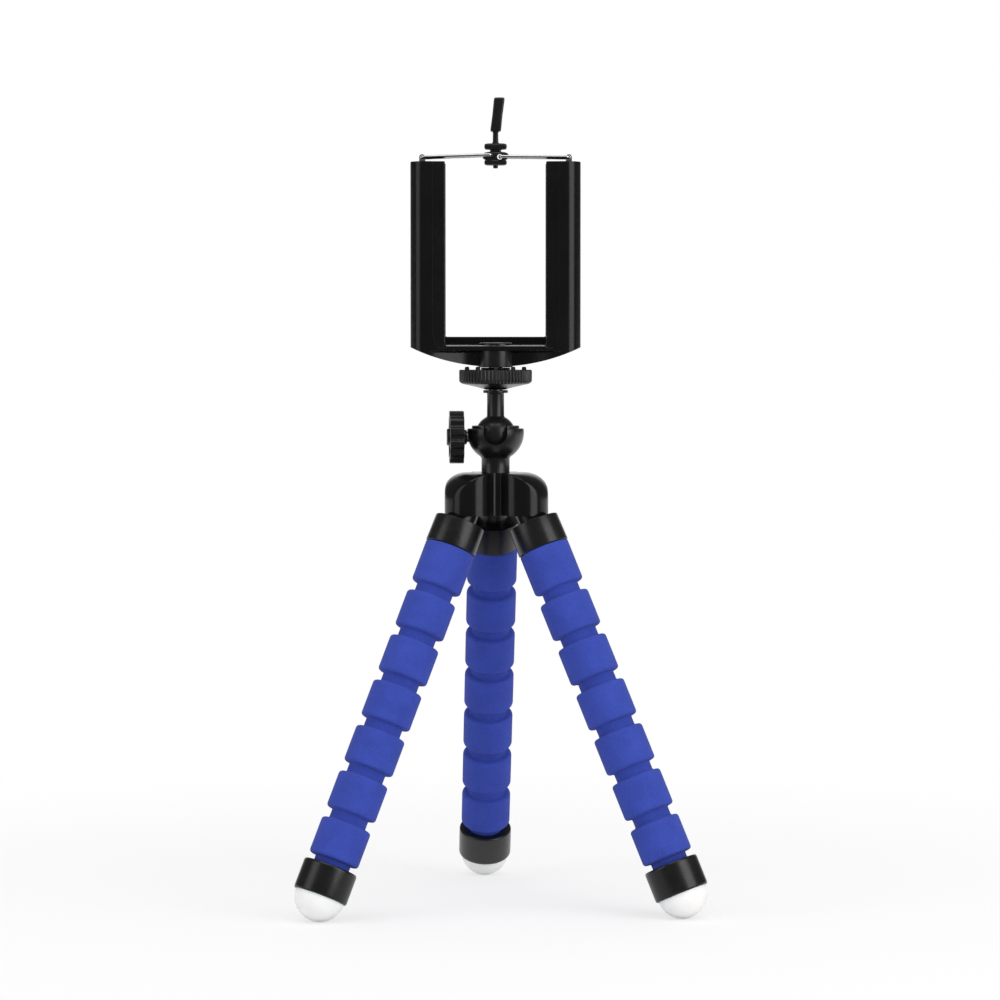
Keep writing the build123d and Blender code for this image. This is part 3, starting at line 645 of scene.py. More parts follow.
@dataclass
class Leg:
    """One bendable leg: a collar, a grooved foam sleeve on a wire, a ring and a rubber foot."""

    name: str
    beads: int = 7
    foam_radius: float = 11.4
    foam_edge: float = 2.8
    groove_width: float = 4.9
    mouth_flare: float = 0.1
    floor_flare: float = 0.3
    last_groove: float = 2.95
    neck_radius: float = 8.45
    plug_radius: float = 8.15
    plug_hole: float = 8.25
    collar_plug: float = 3.9
    ring_plug: float = 2.9
    wire_radius: float = 1.7
    wire_hole: float = 1.85
    wire_rows: int = 25
    collar_radius: float = 11.7
    collar_height: float = 12.7
    hub_hole: float = 6.85
    hub_depth: float = 6.0
    ring_radius: float = 12.25
    ring_height: float = 14.0
    ring_floor: float = 3.0
    tip_floor: float = 5.6
    tip_hole: float = 9.95
    tip_radius: float = 11.1
    bend_reach: float = 6.0

    def __post_init__(self) -> None:
        """Read the leg's line and its pitch from the first and the last of its joints."""
        first = joint_point(f"{self.name}_leg_bend_1")
        last = joint_point(f"{self.name}_leg_side_bend_{self.beads - 1}")
        self.pitch = float(np.linalg.norm(last - first)) / (self.beads - 2)
        down = unit(last - first)
        across = unit(np.cross(down, np.cross([0, 0, 1], down)))
        self.axis = Spindle(first - down * self.pitch, down, across)
        self.foam_end = self.beads * self.pitch - self.groove_width / 2
        self.length = self.foam_end + self.last_groove

    def body(self, bead: int) -> str:
        """Return the body that a bead belongs to, counted from one."""
        return "body" if bead == 1 else f"{self.name}_leg_bead_{bead}"

    def sleeve_profile(self, neck: int) -> Array:
        """Draw the sleeve's outline from the middle of one bead to the middle of the next.

        The outline runs straight along the bead, turns in over a rounded edge to the groove's
        floor, and comes out again the same way. The first one starts inside the collar and the
        last one ends inside the foot ring.

        Args:
            neck: Which groove it holds, counted from one.

        Returns:
            Radii and distances, as (rows, 2).
        """
        pitch, half = self.pitch, self.groove_width / 2
        middle, outer, inner = neck * pitch, self.foam_radius, self.neck_radius
        mouth, floor = half + self.mouth_flare, half - self.floor_flare
        groove = [
            (outer, middle - mouth, self.foam_edge),
            (inner, middle - floor, 0.8),
            (inner, middle + floor, 0.8),
            (outer, middle + mouth, self.foam_edge),
        ]
        start = [(outer, middle - pitch / 2, 0), (outer, middle - pitch / 4, 0)]
        end = [(outer, middle + pitch / 4, 0), (outer, middle + pitch / 2, 0)]
        if neck == 1:
            start = [
                (self.plug_radius, -self.collar_plug, 0.3),
                (self.plug_radius, 0.05, 0.0),
                (outer, 0.05, 0.9),
                (outer, pitch / 2, 0),
            ]
        if neck == self.beads - 1:
            end = [
                (outer, self.foam_end, self.foam_edge),
                (self.plug_radius, self.foam_end + 0.2, 0.6),
                (self.plug_radius, self.length + self.ring_plug, 0.3),
            ]
        return outline_of(start + groove + end, 7)

    def build_sleeve(self) -> None:
        """Build the foam and the wire inside it, each cut in the middle of every bead.
        """
        for neck in range(1, self.beads):
            bend = [self.axis.point(neck * self.pitch + side * self.bend_reach) for side in (-1, 1)]
            sleeve = self.axis.lathe(
                f"{self.name}_leg_sleeve_{neck}", self.sleeve_profile(neck), caps=True
            )
            first, last = neck == 1, neck == self.beads - 1
            nodes = [f"{self.name}_leg_foam_{neck + 1}"]
            if first:
                nodes.append(f"{self.name}_leg_foam_1")
            foam = dress(sleeve.build(crease=60), Slot.FOAM, tuple(nodes))
            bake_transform(foam)

            low = -self.collar_plug - 4 if first else (neck - 0.5) * self.pitch
            high = self.length + self.ring_plug + 2 if last else (neck + 0.5) * self.pitch
            rows = np.linspace(low, high, self.wire_rows)
            wire = self.axis.rod(f"{self.name}_leg_wire_{neck}", self.wire_radius, rows, 24)
            replaced = (f"{self.name}_leg_core_wire",) if first else ()
            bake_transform(dress(wire, Slot.CORE, replaced))

    def build_collar(self) -> None:
        """Build the collar as a turned ring, with a pocket for the foam and one for the hub."""
        height, outer = self.collar_height, self.collar_radius
        profile = outline_of([
            (self.wire_hole, self.hub_depth - height, 0.1),
            (self.hub_hole, self.hub_depth - height, 0.2),
            (self.hub_hole, -height, 0.3),
            (outer - 0.25, -height, 0.6),
            (outer, -0.2, 0.5),
            (outer - 0.3, 0.0, 0.3),
            (self.plug_hole, 0.0, 0.15),
            (self.plug_hole, -self.collar_plug - 0.1, 0.15),
            (self.wire_hole, -self.collar_plug - 0.1, 0.1),
        ], 4, closed=True)
        collar = self.axis.lathe(f"{self.name}_collar", profile, loop=True).build()
        place(collar, Slot.SATIN, "body", (f"{self.name}_leg_collar",))

    def build_foot(self) -> None:
        """Build the foot ring and the rubber tip, both turned."""
        top, bottom, outer = self.length, self.length + self.ring_height, self.ring_radius
        profile = outline_of([
            (self.wire_hole, top + self.ring_floor, 0.1),
            (self.plug_hole, top + self.ring_floor, 0.15),
            (self.plug_hole, top, 0.2),
            (outer - 0.45, top, 0.5),
            (outer, top + 0.8, 0.6),
            (outer, bottom - 0.7, 0.5),
            (outer - 0.35, bottom, 0.4),
            (self.tip_hole, bottom, 0.2),
            (self.tip_hole, top + self.tip_floor, 0.15),
            (self.wire_hole, top + self.tip_floor, 0.1),
        ], 4, closed=True)
        body = self.body(self.beads)
        ring = self.axis.lathe(f"{self.name}_foot_ring_skin", profile, loop=True).build()
        place(ring, Slot.SATIN, body, (f"{self.name}_leg_foot_ring",))

        dome = arc(self.tip_radius, np.radians(np.linspace(0, 90, 30))) + [0, bottom]
        plug, start = self.tip_hole - 0.1, top + self.tip_floor + 0.1
        profile = np.concatenate([[(0.0, start), (plug, start), (plug, bottom + 0.02)], dome])
        tip = self.axis.lathe(f"{self.name}_foot_tip_skin", profile).build()
        place(tip, Slot.TIP, body, (f"{self.name}_leg_foot_tip",))

    def build(self) -> None:
        """Build the whole leg."""
        self.build_collar()
        self.build_sleeve()
        self.build_foot()


@dataclass
class BodyShell:
    """The hollow three-lobed body that the legs meet under."""

    lobe_radius: float = 11.0
    valley_round: float = 3.2
    lobe_offset: float = 14.3
    dome_round: float = 12.0
    wall: float = 2.0
    first_lobe: float = 93.3
    hole_radius: float = 4.7
    edge_blend: float = 0.55
    blend_reach: float = 4.0
    columns: int = 480
    wall_rows: int = 9
    dome_rows: int = 28
    roof_rows: int = 8

    def side(self, angle: Array, inset: float) -> Array:
        """Work out how far the lobed outline lies from the axis.

        Within each third of the turn the side is the lobe's circle near the lobe's middle, and the
        near side of the circle that rounds the valley further round, which touches it.

        Args:
            angle: Directions from the axis, in radians.
            inset: How far inside the outer side this one lies.

        Returns:
            The distance in each direction.
        """
        sixth = np.pi / 3
        turn = np.mod(angle - np.radians(self.first_lobe) + sixth, 2 * sixth)
        turn = np.abs(turn - sixth)
        offset, span = self.lobe_offset, self.lobe_radius + self.valley_round
        radius, hollow = self.lobe_radius - inset, self.valley_round + inset
        chord = np.clip(radius**2 - (offset * np.sin(turn)) ** 2, 0, None)
        circle = offset * np.cos(turn) + np.sqrt(chord)
        centre = offset / 2 + np.sqrt(span**2 - (offset * np.sin(sixth)) ** 2)
        valley = np.clip(hollow**2 - (centre * np.sin(turn - sixth)) ** 2, 0, None)
        valley = centre * np.cos(turn - sixth) - np.sqrt(valley)
        across = np.array([centre * np.cos(sixth) - offset, centre * np.sin(sixth)]) / span
        touch = np.arctan2(radius * across[1], offset + radius * across[0])
        return np.where(turn < touch, circle, valley)

    def skin(self, bottom: float, top: float, inset: float, angle: Array) -> Array:
        """Work out one face of the shell, from its lower edge to the hole in its top.

        The distance from the axis is the smaller of the lobed outline's and the dome's, with the
        ridge between them rounded.

        Args:
            bottom: The height of the lower edge.
            top: The height of the dome's top.
            inset: How far inside the outer face this one lies.
            angle: Directions round the axis.

        Returns:
            Points, as (rows, angles, 3).
        """
        reach = self.lobe_offset + self.lobe_radius - inset
        bend = self.dome_round - inset
        swing = np.radians(np.linspace(0, 90, self.dome_rows))
        height = np.concatenate([
            np.linspace(bottom, top - bend, self.wall_rows + 1)[:-1],
            top - bend + bend * np.sin(swing),
            np.full(self.roof_rows, top),
        ])
        rim = reach - bend
        radius = np.concatenate([
            np.full(self.wall_rows, reach),
            rim + bend * np.cos(swing),
            np.linspace(rim, self.hole_radius, self.roof_rows + 1)[1:],
        ])[:, None]
        side = self.side(angle, inset)
        distance = soft_min(side, radius, self.edge_blend)
        distance = np.where(radius < side - self.blend_reach, radius, distance)
        return grid_of(distance * np.cos(angle), distance * np.sin(angle), height[:, None])

    def build(self) -> None:
        """Build the shell as an outer and an inner face joined at the lower edge and the hole."""
        low, high = node_range("body_shell")
        angle = round_angles(self.columns)
        outer = self.skin(low[2], high[2], 0.0, angle)
        inner = self.skin(low[2], high[2] - self.wall, self.wall, angle)[::-1]
        shell = Shell("body_shell_skin").add(np.concatenate([outer, inner]), loop=True)
        place(shell.build(crease=50), Slot.GLOSS, "body", ("body_shell",))


@dataclass
class ClampFrame:
    """The clamp's one-piece frame: two channels that flex on a base with a swollen underside."""

    half_width: float = 38.2
    lip_gap: float = 22.6
    half_depth: float = 12.0
    wall: float = 2.0
    edge_round: float = 7.0
    edge_blend: float = 0.02
    corner_blend: float = 0.12
    crease_x: float = 28.3
    crease_step: float = 0.5
    crease_half: float = 0.12
    fan_clear: float = 0.3
    fan_power: float = 1.3
    near_height: float = 4.5
    lip_taper: float = 0.6
    lip_thick: float = 1.55
    shut_lip_thick: float = 1.2
    inner_round: float = 0.8
    floor_rise: float = 0.9
    top_rise: float = 4.9
    arc_radius: float = 87.4
    arc_low: float = 0.2
    skirt_drop: float = 3.0
    floor_fall: float = 1.25
    fall_power: float = 1.3
    keel_half_depth: float = 5.0
    keel_flare: float = 1.0
    swell_start: float = 9.0
    swell_length: float = 24.0
    back_lip: float = 3.1
    climb_height: float = 9.0
    channel_floor: float = 3.6
    boss_radius: float = 7.65
    boss_reach: float = 3.5
    boss_hole: float = 4.85
    cap_thick: float = 2.6
    boss_segments: int = 96
    lug_radius: float = 1.35
    lug_starts: tuple[float, float] = (-4.2, 2.1)
    flex_start: tuple[float, float] = (22.0, -6.0)
    flex_end: tuple[float, float] = (33.0, 10.0)

    def __post_init__(self) -> None:
        """Read the heights from the frame."""
        base_low, _ = node_range("clamp_base")
        _, liner_high = node_range("arm_pad_right")
        self.bottom = base_low[2]
        self.floor = joint_point("right_arm_flex")[2] + self.floor_rise
        self.top = liner_high[2] + self.top_rise
        self.arc_centre = self.bottom + self.arc_low + self.arc_radius
        self.hub = np.array([self.lip_gap - self.inner_round, self.floor + self.inner_round])

    def half_thickness(self, x: Array, z: Array) -> Array:
        """Work out how deep the frame is in front of its middle plane.

        It is the lesser of two: the quarter round on the arms' outer edges, and the underside,
        which steps in under the base's plate to a narrow keel and swells out to the arms' full
        depth again at its ends.

        Args:
            x: Distances from the middle.
            z: Heights.

        Returns:
            The depth at each point.
        """
        beyond = np.clip(x - self.half_width + self.edge_round, 0, self.edge_round)
        edge = self.half_depth - self.edge_round + np.sqrt(self.edge_round**2 - beyond**2)
        drop = (self.floor - self.skirt_drop - z) / self.keel_flare
        swell = ease((x - self.swell_start) / self.swell_length)
        step = (self.half_depth - self.keel_half_depth) * ease(drop) * (1 - swell)
        under = self.half_depth - step
        return soft_min(edge, under, self.edge_blend)

    def stations(self) -> tuple[Array, Array, Array, Array]:
        """Lay out the cuts through the right half, from the arm's top to the middle of the base.

        The cuts run level down the arm, fan out round the inner corner, and stand upright along
        the base.

        Returns:
            Each cut's starting point (x, z), its direction away from the opening, how far it is
            from an arm's cut (0) to a base's (1), and whether the channel is open there.
        """
        floor = self.floor + self.channel_floor
        heights = np.concatenate([
            [self.top, self.top - 0.12, self.top - 0.4],
            np.linspace(self.top - 3, floor + 1.5, 22),
            [floor + 0.3, floor + 0.02, floor, floor - 0.3],
            np.linspace(floor - 0.9, self.hub[1], 4)[:-1],
        ])
        edge = np.array([self.half_width, self.arc_height(self.half_width)]) - self.hub
        kink = np.degrees(np.arctan2(-edge[1], edge[0]))
        swing = np.radians(np.concatenate([
            np.linspace(0, kink - 1.2, 5),
            kink + np.array([-0.8, -0.45, -0.2, 0, 0.2, 0.45, 0.8]),
            np.linspace(kink + 1.4, 90, 30),
        ]))
        spans = np.linspace(self.hub[0], 0, 34)[1:]
        origin = np.concatenate([
            np.stack([np.full(len(heights), self.hub[0]), heights], axis=1),
            np.tile(self.hub, (len(swing), 1)),
            np.stack([spans, np.full(len(spans), self.hub[1])], axis=1),
        ])
        direction = np.concatenate([
            np.tile([1.0, 0.0], (len(heights), 1)),
            np.stack([np.cos(swing), -np.sin(swing)], axis=1),
            np.tile([0.0, -1.0], (len(spans), 1)),
        ])
        turn = np.concatenate([
            np.zeros(len(heights)), ease(swing / (np.pi / 2)), np.ones(len(spans))
        ])
        opened = np.concatenate([heights > floor + 0.01, np.zeros(len(swing) + len(spans), bool)])
        return origin, direction, turn, opened

    def arc_height(self, x: Array) -> Array:
        """Return the height of the base's underside at a distance from the middle."""
        return self.arc_centre - np.sqrt(self.arc_radius**2 - x**2)

    def inside(
        self, origin: Array, direction: Array, turn: Array, opened: Array
    ) -> tuple[Array, Array]:
        """Draw the inner side of every cut: back lip, channel and front lip.

        Where the channel is shut, its corners lie on the floor of the base.

        Args:
            origin: Each cut's starting point.
            direction: Each cut's direction.
            turn: How far each one is from an arm's cut to a base's.
            opened: Whether the channel is open there.

        Returns:
            How far along each cut the faces' crease lies, and the points: each one's distance
            along the cut, its y, and how far it is lifted.
        """
        start, clear = self.hub[0], self.inner_round + self.fan_clear
        inner, level, on_arm = np.full(len(turn), self.inner_round), np.zeros(len(turn)), turn == 0
        near = ease((self.hub[1] + self.near_height - origin[:, 1]) / self.near_height) * on_arm
        arm_crease = self.crease_x - start - near
        fan = (arm_crease.min() - clear) * np.clip(direction[:, 0], 0, 1) ** self.fan_power
        crease = np.where(on_arm, arm_crease, clear + fan)
        before, after = crease - self.crease_half, crease + self.crease_half
        depth, wide, shut = self.half_depth, self.half_depth - self.wall, ~opened
        step = self.crease_step * (1 - turn)
        lip_y = depth - step - self.lip_taper * (1 - turn)
        lip_in = lip_y - np.where(opened, self.lip_thick, self.shut_lip_thick)
        climb = ease((origin[:, 1] - self.hub[1]) / self.climb_height) * on_arm
        lift = self.back_lip * (1 - climb)
        middle = np.where(opened, self.crease_x - start, inner)
        floor = np.where(opened, self.half_width - self.wall - start, inner)
        table = (
            (after, depth, level, 0.05),
            (before, depth - step, level, 0.05),
            (inner, lip_y, lift, 0.5),
            (inner, np.where(opened, lip_in, wide), lift, 0.5),
            (middle, wide, level, 0.2),
            (floor, wide - 0.02 * shut, level, 4.5),
            (floor, 0.5 * shut - wide, level, 4.5),
            (middle, 0.4 * shut - wide, level, 0.2),
            (inner, -lip_in, level, 0.5),
            (inner, -lip_y, level, 0.5),
            (before, step - depth, level, 0.05),
            (after, -depth, level, 0.05),
        )
        corners = np.stack([grid_of(*row[:3]) for row in table], axis=1)
        run = rounded(corners, np.array([row[3] for row in table]), steps=6)
        return crease, run[:, 5:-5]

    def outside(self, origin: Array, direction: Array, crease: Array) -> Array:
        """Draw the outer side of every cut: front face, outer face and back face.

        A cut ends at the arm's side or at the base's arc, whichever comes first.

        Args:
            origin: Each cut's starting point.
            direction: Each cut's direction.
            crease: How far along each cut the faces start.

        Returns:
            Points, in the same form as the inner side's.
        """
        rays = origin - [0, self.arc_centre]
        dot = (rays * direction).sum(1)
        to_arc = -dot + np.sqrt(dot**2 - (rays**2).sum(1) + self.arc_radius**2)
        to_side = (self.half_width - origin[:, 0]) / np.maximum(direction[:, 0], 1e-6)
        out = soft_min(to_arc, to_side, self.corner_blend)[:, None]
        start = crease[:, None] + self.crease_half
        across = start + (out - start) * np.sin(np.linspace(0, 1, 64) * np.pi / 2)[1:]
        x = origin[:, :1] + across * direction[:, :1]
        z = origin[:, 1:] + across * direction[:, 1:]
        face = self.half_thickness(x, z)
        web = grid_of(out, face[:, -1:] * np.linspace(-1, 1, 10)[1:-1], 0.0)
        back = grid_of(across, face, 0.0)[:, ::-1]
        return np.concatenate([grid_of(across, -face, 0.0), web, back], axis=1)

    def build_half(self, side: Side) -> Piece:
        """Build one half of the frame as a closed section carried along its path.

        The base's floor falls towards its front edge, by a power of the depth in front of the
        middle, and the first two cuts are drawn in to round the arm's top.

        Args:
            side: Which half it is.

        Returns:
            The half, as one closed piece.
        """
        origin, direction, turn, opened = self.stations()
        crease, inside = self.inside(origin, direction, turn, opened)
        section = np.concatenate([inside, self.outside(origin, direction, crease)], axis=1)
        tangent = np.roll(section[:2], -1, axis=1) - np.roll(section[:2], 1, axis=1)
        normal = unit(np.stack([tangent[..., 1], -tangent[..., 0]], axis=-1))
        section[:2, :, :2] -= normal * np.array([0.32, 0.1])[:, None, None]
        grid = grid_of(
            side.value * (origin[:, :1] + section[..., 0] * direction[:, :1]),
            section[..., 1],
            origin[:, 1:] + section[..., 0] * direction[:, 1:] + section[..., 2],
        )
        ahead = np.clip(-grid[..., 1] / self.half_depth, 0, 1)
        under = ease((self.hub[1] - grid[..., 2]) / (self.skirt_drop + self.inner_round))
        fall = self.floor_fall * turn[:, None] * ahead**self.fall_power
        grid[..., 2] -= fall * (1 - under)
        return Shell(f"clamp_frame_{side.label}").add(grid, caps=True).build(crease=38)

    def build_boss(self) -> Piece:
        """Build the boss over the screw's nut, turned, with a slightly raised cap.

        Below the base's plate its outline is drawn out to the front: a direction's distance is
        that of the straight sides, and further round that of a circle about the drawn-out centre.

        Returns:
            The boss.
        """
        top, reach, radius = self.floor - self.bottom, self.boss_reach, self.boss_radius
        segments, hole, height = self.boss_segments, self.boss_hole, top - self.cap_thick
        angle = round_angles(segments)
        front = -np.sin(angle)
        side = radius / np.maximum(np.abs(np.cos(angle)), 1e-6)
        ahead = reach * front + np.sqrt(radius**2 - (reach * np.cos(angle)) ** 2)
        drawn = np.where(side * front < reach, side, ahead)
        drawn = np.where(front > 0, drawn, radius)
        profile = outline_of([
            (hole, 0.0, 0.15),
            (radius, 0.0, 0.35),
            (radius, top - 1.5, 0.1),
            (radius - 0.02, top + 0.2, 0.4),
            (radius - 0.9, top + 0.45, 0.5),
            (0.0, top + 0.6, 0.0),
            (0.0, height, 0.0),
            (hole, height, 0.1),
        ], closed=True)
        low = (profile[:, :1] > 6.0) & (profile[:, 1:] < top - 1.5)
        radii, heights = profile[:, :1] + low * (drawn - radius), np.tile(profile[:, 1:], segments)
        grid = upright(self.bottom).turn(radii, heights, segments)
        return Shell("clamp_boss").add(grid, loop=True).build()

    def build_lugs(self, side: Side) -> Piece:
        """Build an arm's top plate and its two lugs, in which a wire turns.

        Each lug is a tab with a round top, drilled for the wire.

        Args:
            side: Which arm it is.

        Returns:
            The piece.
        """
        hinge = joint_point(f"{side.label}_wire_hinge")
        lugs = Shell(f"arm_lugs_{side.label}")
        hole = arc(1.0, np.radians(np.linspace(-90, 270, 48, endpoint=False)))
        edge = hole * self.lug_radius
        below = edge[:, 1] < 0
        edge[below] = np.stack([
            np.clip(hole[below, 0] * 4.0, -self.lug_radius, self.lug_radius),
            np.maximum(hole[below, 1] * 7.0, self.top - 1.5 - hinge[2]),
        ], axis=1)
        bore, mouth, face = hole * 0.76, hole * 0.9, edge * 0.93
        rings = np.stack([bore, mouth, face, edge, edge, face, mouth, bore])
        for start in self.lug_starts:
            levels = np.array([0.1, 0.0, 0.0, 0.12, 1.98, 2.1, 2.1, 2.0]) + start
            grid = grid_of(
                hinge[0] + rings[..., 0], hinge[1] + levels[:, None], hinge[2] + rings[..., 1]
            )
            lugs.add(grid, loop=True)
        plate = [(31.3, 1.1), (36.4, 1.1), (36.4, 9.3), (35.0, 10.4), (31.3, 10.4)]
        outline = outline_of([(*corner, 0.3) for corner in plate], 4, closed=True)
        middle = outline.mean(0)
        rows = np.array([
            (0.0, -1.85), (0.985, -1.85), (1.0, -1.75), (1.0, -0.2), (0.985, -0.1), (0.0, -0.1)
        ])
        spread = middle + (outline - middle) * rows[:, :1, None]
        lugs.add(grid_of(side.value * spread[..., 0], spread[..., 1], self.top + rows[:, 1:]))
        return lugs.build()

    def build_liner(self, side: Side) -> Piece:
        """Build the soft strip in a channel, as a rounded bar with a crowned face.

        Args:
            side: Which arm it is in.

        Returns:
            The piece.
        """
        low, high = node_range(f"arm_pad_{side.label}")
        steps, insets = np.array([0, 0.1, 0.35, 0.8]), np.array([0.7, 0.35, 0.1, 0.0])
        height = np.concatenate([
            low[2] + steps, np.linspace(low[2] + 3, high[2] - 3, 24), high[2] - steps[::-1]
        ])[:, None]
        inset = np.concatenate([insets, np.zeros(24), insets[::-1]])[:, None]
        thick, half = high[0] - low[0], high[1]
        ring = outline_of([
            (0, -half, 0.1), (thick * 0.86, -half, 0.7), (thick, -half / 2, 1.6),
            (thick, half / 2, 1.6), (thick * 0.86, half, 0.7), (0, half, 0.1),
        ], 6, closed=True)
        outer = high[0] if side is Side.RIGHT else -low[0]
        grid = grid_of(
            side.value * (outer - np.clip(ring[:, 0] - inset, 0.02, None)),
            ring[:, 1] * (1 - inset / half),
            height,
        )
        return Shell(f"channel_liner_{side.label}").add(grid, caps=True).build(crease=60)

    def build(self) -> None:
        """Build the frame's halves, its boss, its lugs and its liners."""
        place(self.build_boss(), Slot.SATIN, "clamp", ("clamp_base",))
        for side in Side:
            arm, pad = f"arm_{side.label}", f"arm_pad_{side.label}"
            half = dress(self.build_half(side), Slot.GLOSS, (arm, "clamp_base"))
            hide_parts("hinge_pins")
            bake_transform(half)
            place(self.build_lugs(side), Slot.CHROME, arm)
            liner = place(self.build_liner(side), Slot.RUBBER, arm, (pad,))


@dataclass
class Wires:
    """The two chrome wire loops that join the arms to the lever."""

    radius: float = 0.7
    arm_span: float = 5.7
    lever_span: float = 4.6
    hook: float = 2.3
    bend: float = 1.6
    pivot_drop: float = 0.8

    def build_wire(self, name: str, hinge: Array, hook: Array) -> Piece:
        """Build a wire as a round bar carried along its bent path.

        The path lies in the plane of the loop: in at one hook, along a leg, across the arm's
        hinge, back along the other leg and in at the other hook.

        Args:
            name: The piece's name.
            hinge: The middle of the stretch in the arm's lugs.
            hook: The middle of the gap between the hooks in the lever.

        Returns:
            The wire.
        """
        away, level = hinge - hook, np.array([0.0, 1.0, 0.0])
        near, far = self.lever_span, self.arm_span
        corners = np.stack([
            hook - level * (near - self.hook),
            hook - level * near,
            hook + away - level * far,
            hook + away + level * far,
            hook + level * near,
            hook + level * (near - self.hook),
        ])
        path = rounded(corners, np.array([0.0, *[self.bend] * 4, 0.0]), steps=12)
        path = path[np.r_[True, np.linalg.norm(np.diff(path, axis=0), axis=1) > 1e-6]]
        tangent = unit(np.gradient(path, axis=0))
        upward = unit(np.cross(away, level))
        sideways = np.cross(tangent, upward)
        angle = round_angles(20)
        ring = np.cos(angle)[:, None, None] * sideways + np.sin(angle)[:, None, None] * upward
        tube = (path[None] + self.radius * ring).transpose(1, 0, 2)
        tip = tangent[[0, -1]] * [[-0.25], [0.25]]
        small = path[[0, -1], None] + (tube[[0, -1]] - path[[0, -1], None]) * 0.7
        start, end = small[:1] + tip[0], small[1:] + tip[1]
        grid = np.concatenate([start, tube, end])
        return Shell(name).add(grid, caps=True).build(crease=50)

    def build(self) -> None:
        """Build both wires."""
        pivot = joint_point("lever_flip")
        hooks = {"left": pivot, "right": pivot * [-1, 1, 1] - [0, 0, self.pivot_drop]}
        for name, hook in hooks.items():
            hinge = joint_point(f"{name}_wire_hinge")
            wire = self.build_wire(f"chrome_wire_{name}", hinge, hook)
            place(wire, Slot.CHROME, f"wire_{name}", (f"wire_{name}",))


def carve(piece: Piece, *cutters: Piece, crease: float = BEVEL_ANGLE) -> Piece:
    """Cut closed shapes out of a piece, and drop them.

    Args:
        piece: The closed piece that stays.
        cutters: The closed shapes that are cut out of it.
        crease: The angle in degrees above which an edge stays sharp.

    Returns:
        The piece.
    """
    for cutter in cutters:
        cut = piece.modifiers.new("cut", "BOOLEAN")
        cut.operation, cut.solver, cut.object = "DIFFERENCE", "EXACT", cutter
    bpy.context.view_layer.update()
    shaped = piece.evaluated_get(bpy.context.evaluated_depsgraph_get())
    mesh = bpy.data.meshes.new_from_object(shaped)
    piece.modifiers.clear()
    piece.data = mesh
    for cutter in cutters:
        bpy.data.objects.remove(cutter)
    mesh.shade_smooth()
    mesh.set_sharp_from_angle(angle=np.radians(crease))
    return piece


def soften(piece: Piece, width: float, segments: int = 2) -> Piece:
    """Round a piece's sharp edges.

    Args:
        piece: The piece.
        width: How far from the edge the rounding starts, in millimetres.
        segments: Faces across each rounding.

    Returns:
        The piece.
    """
    bevel = piece.modifiers.new("edges", "BEVEL")
    bevel.width, bevel.segments, bevel.limit_method = width * MM, segments, "ANGLE"
    bevel.angle_limit = np.radians(BEVEL_ANGLE)
    return piece


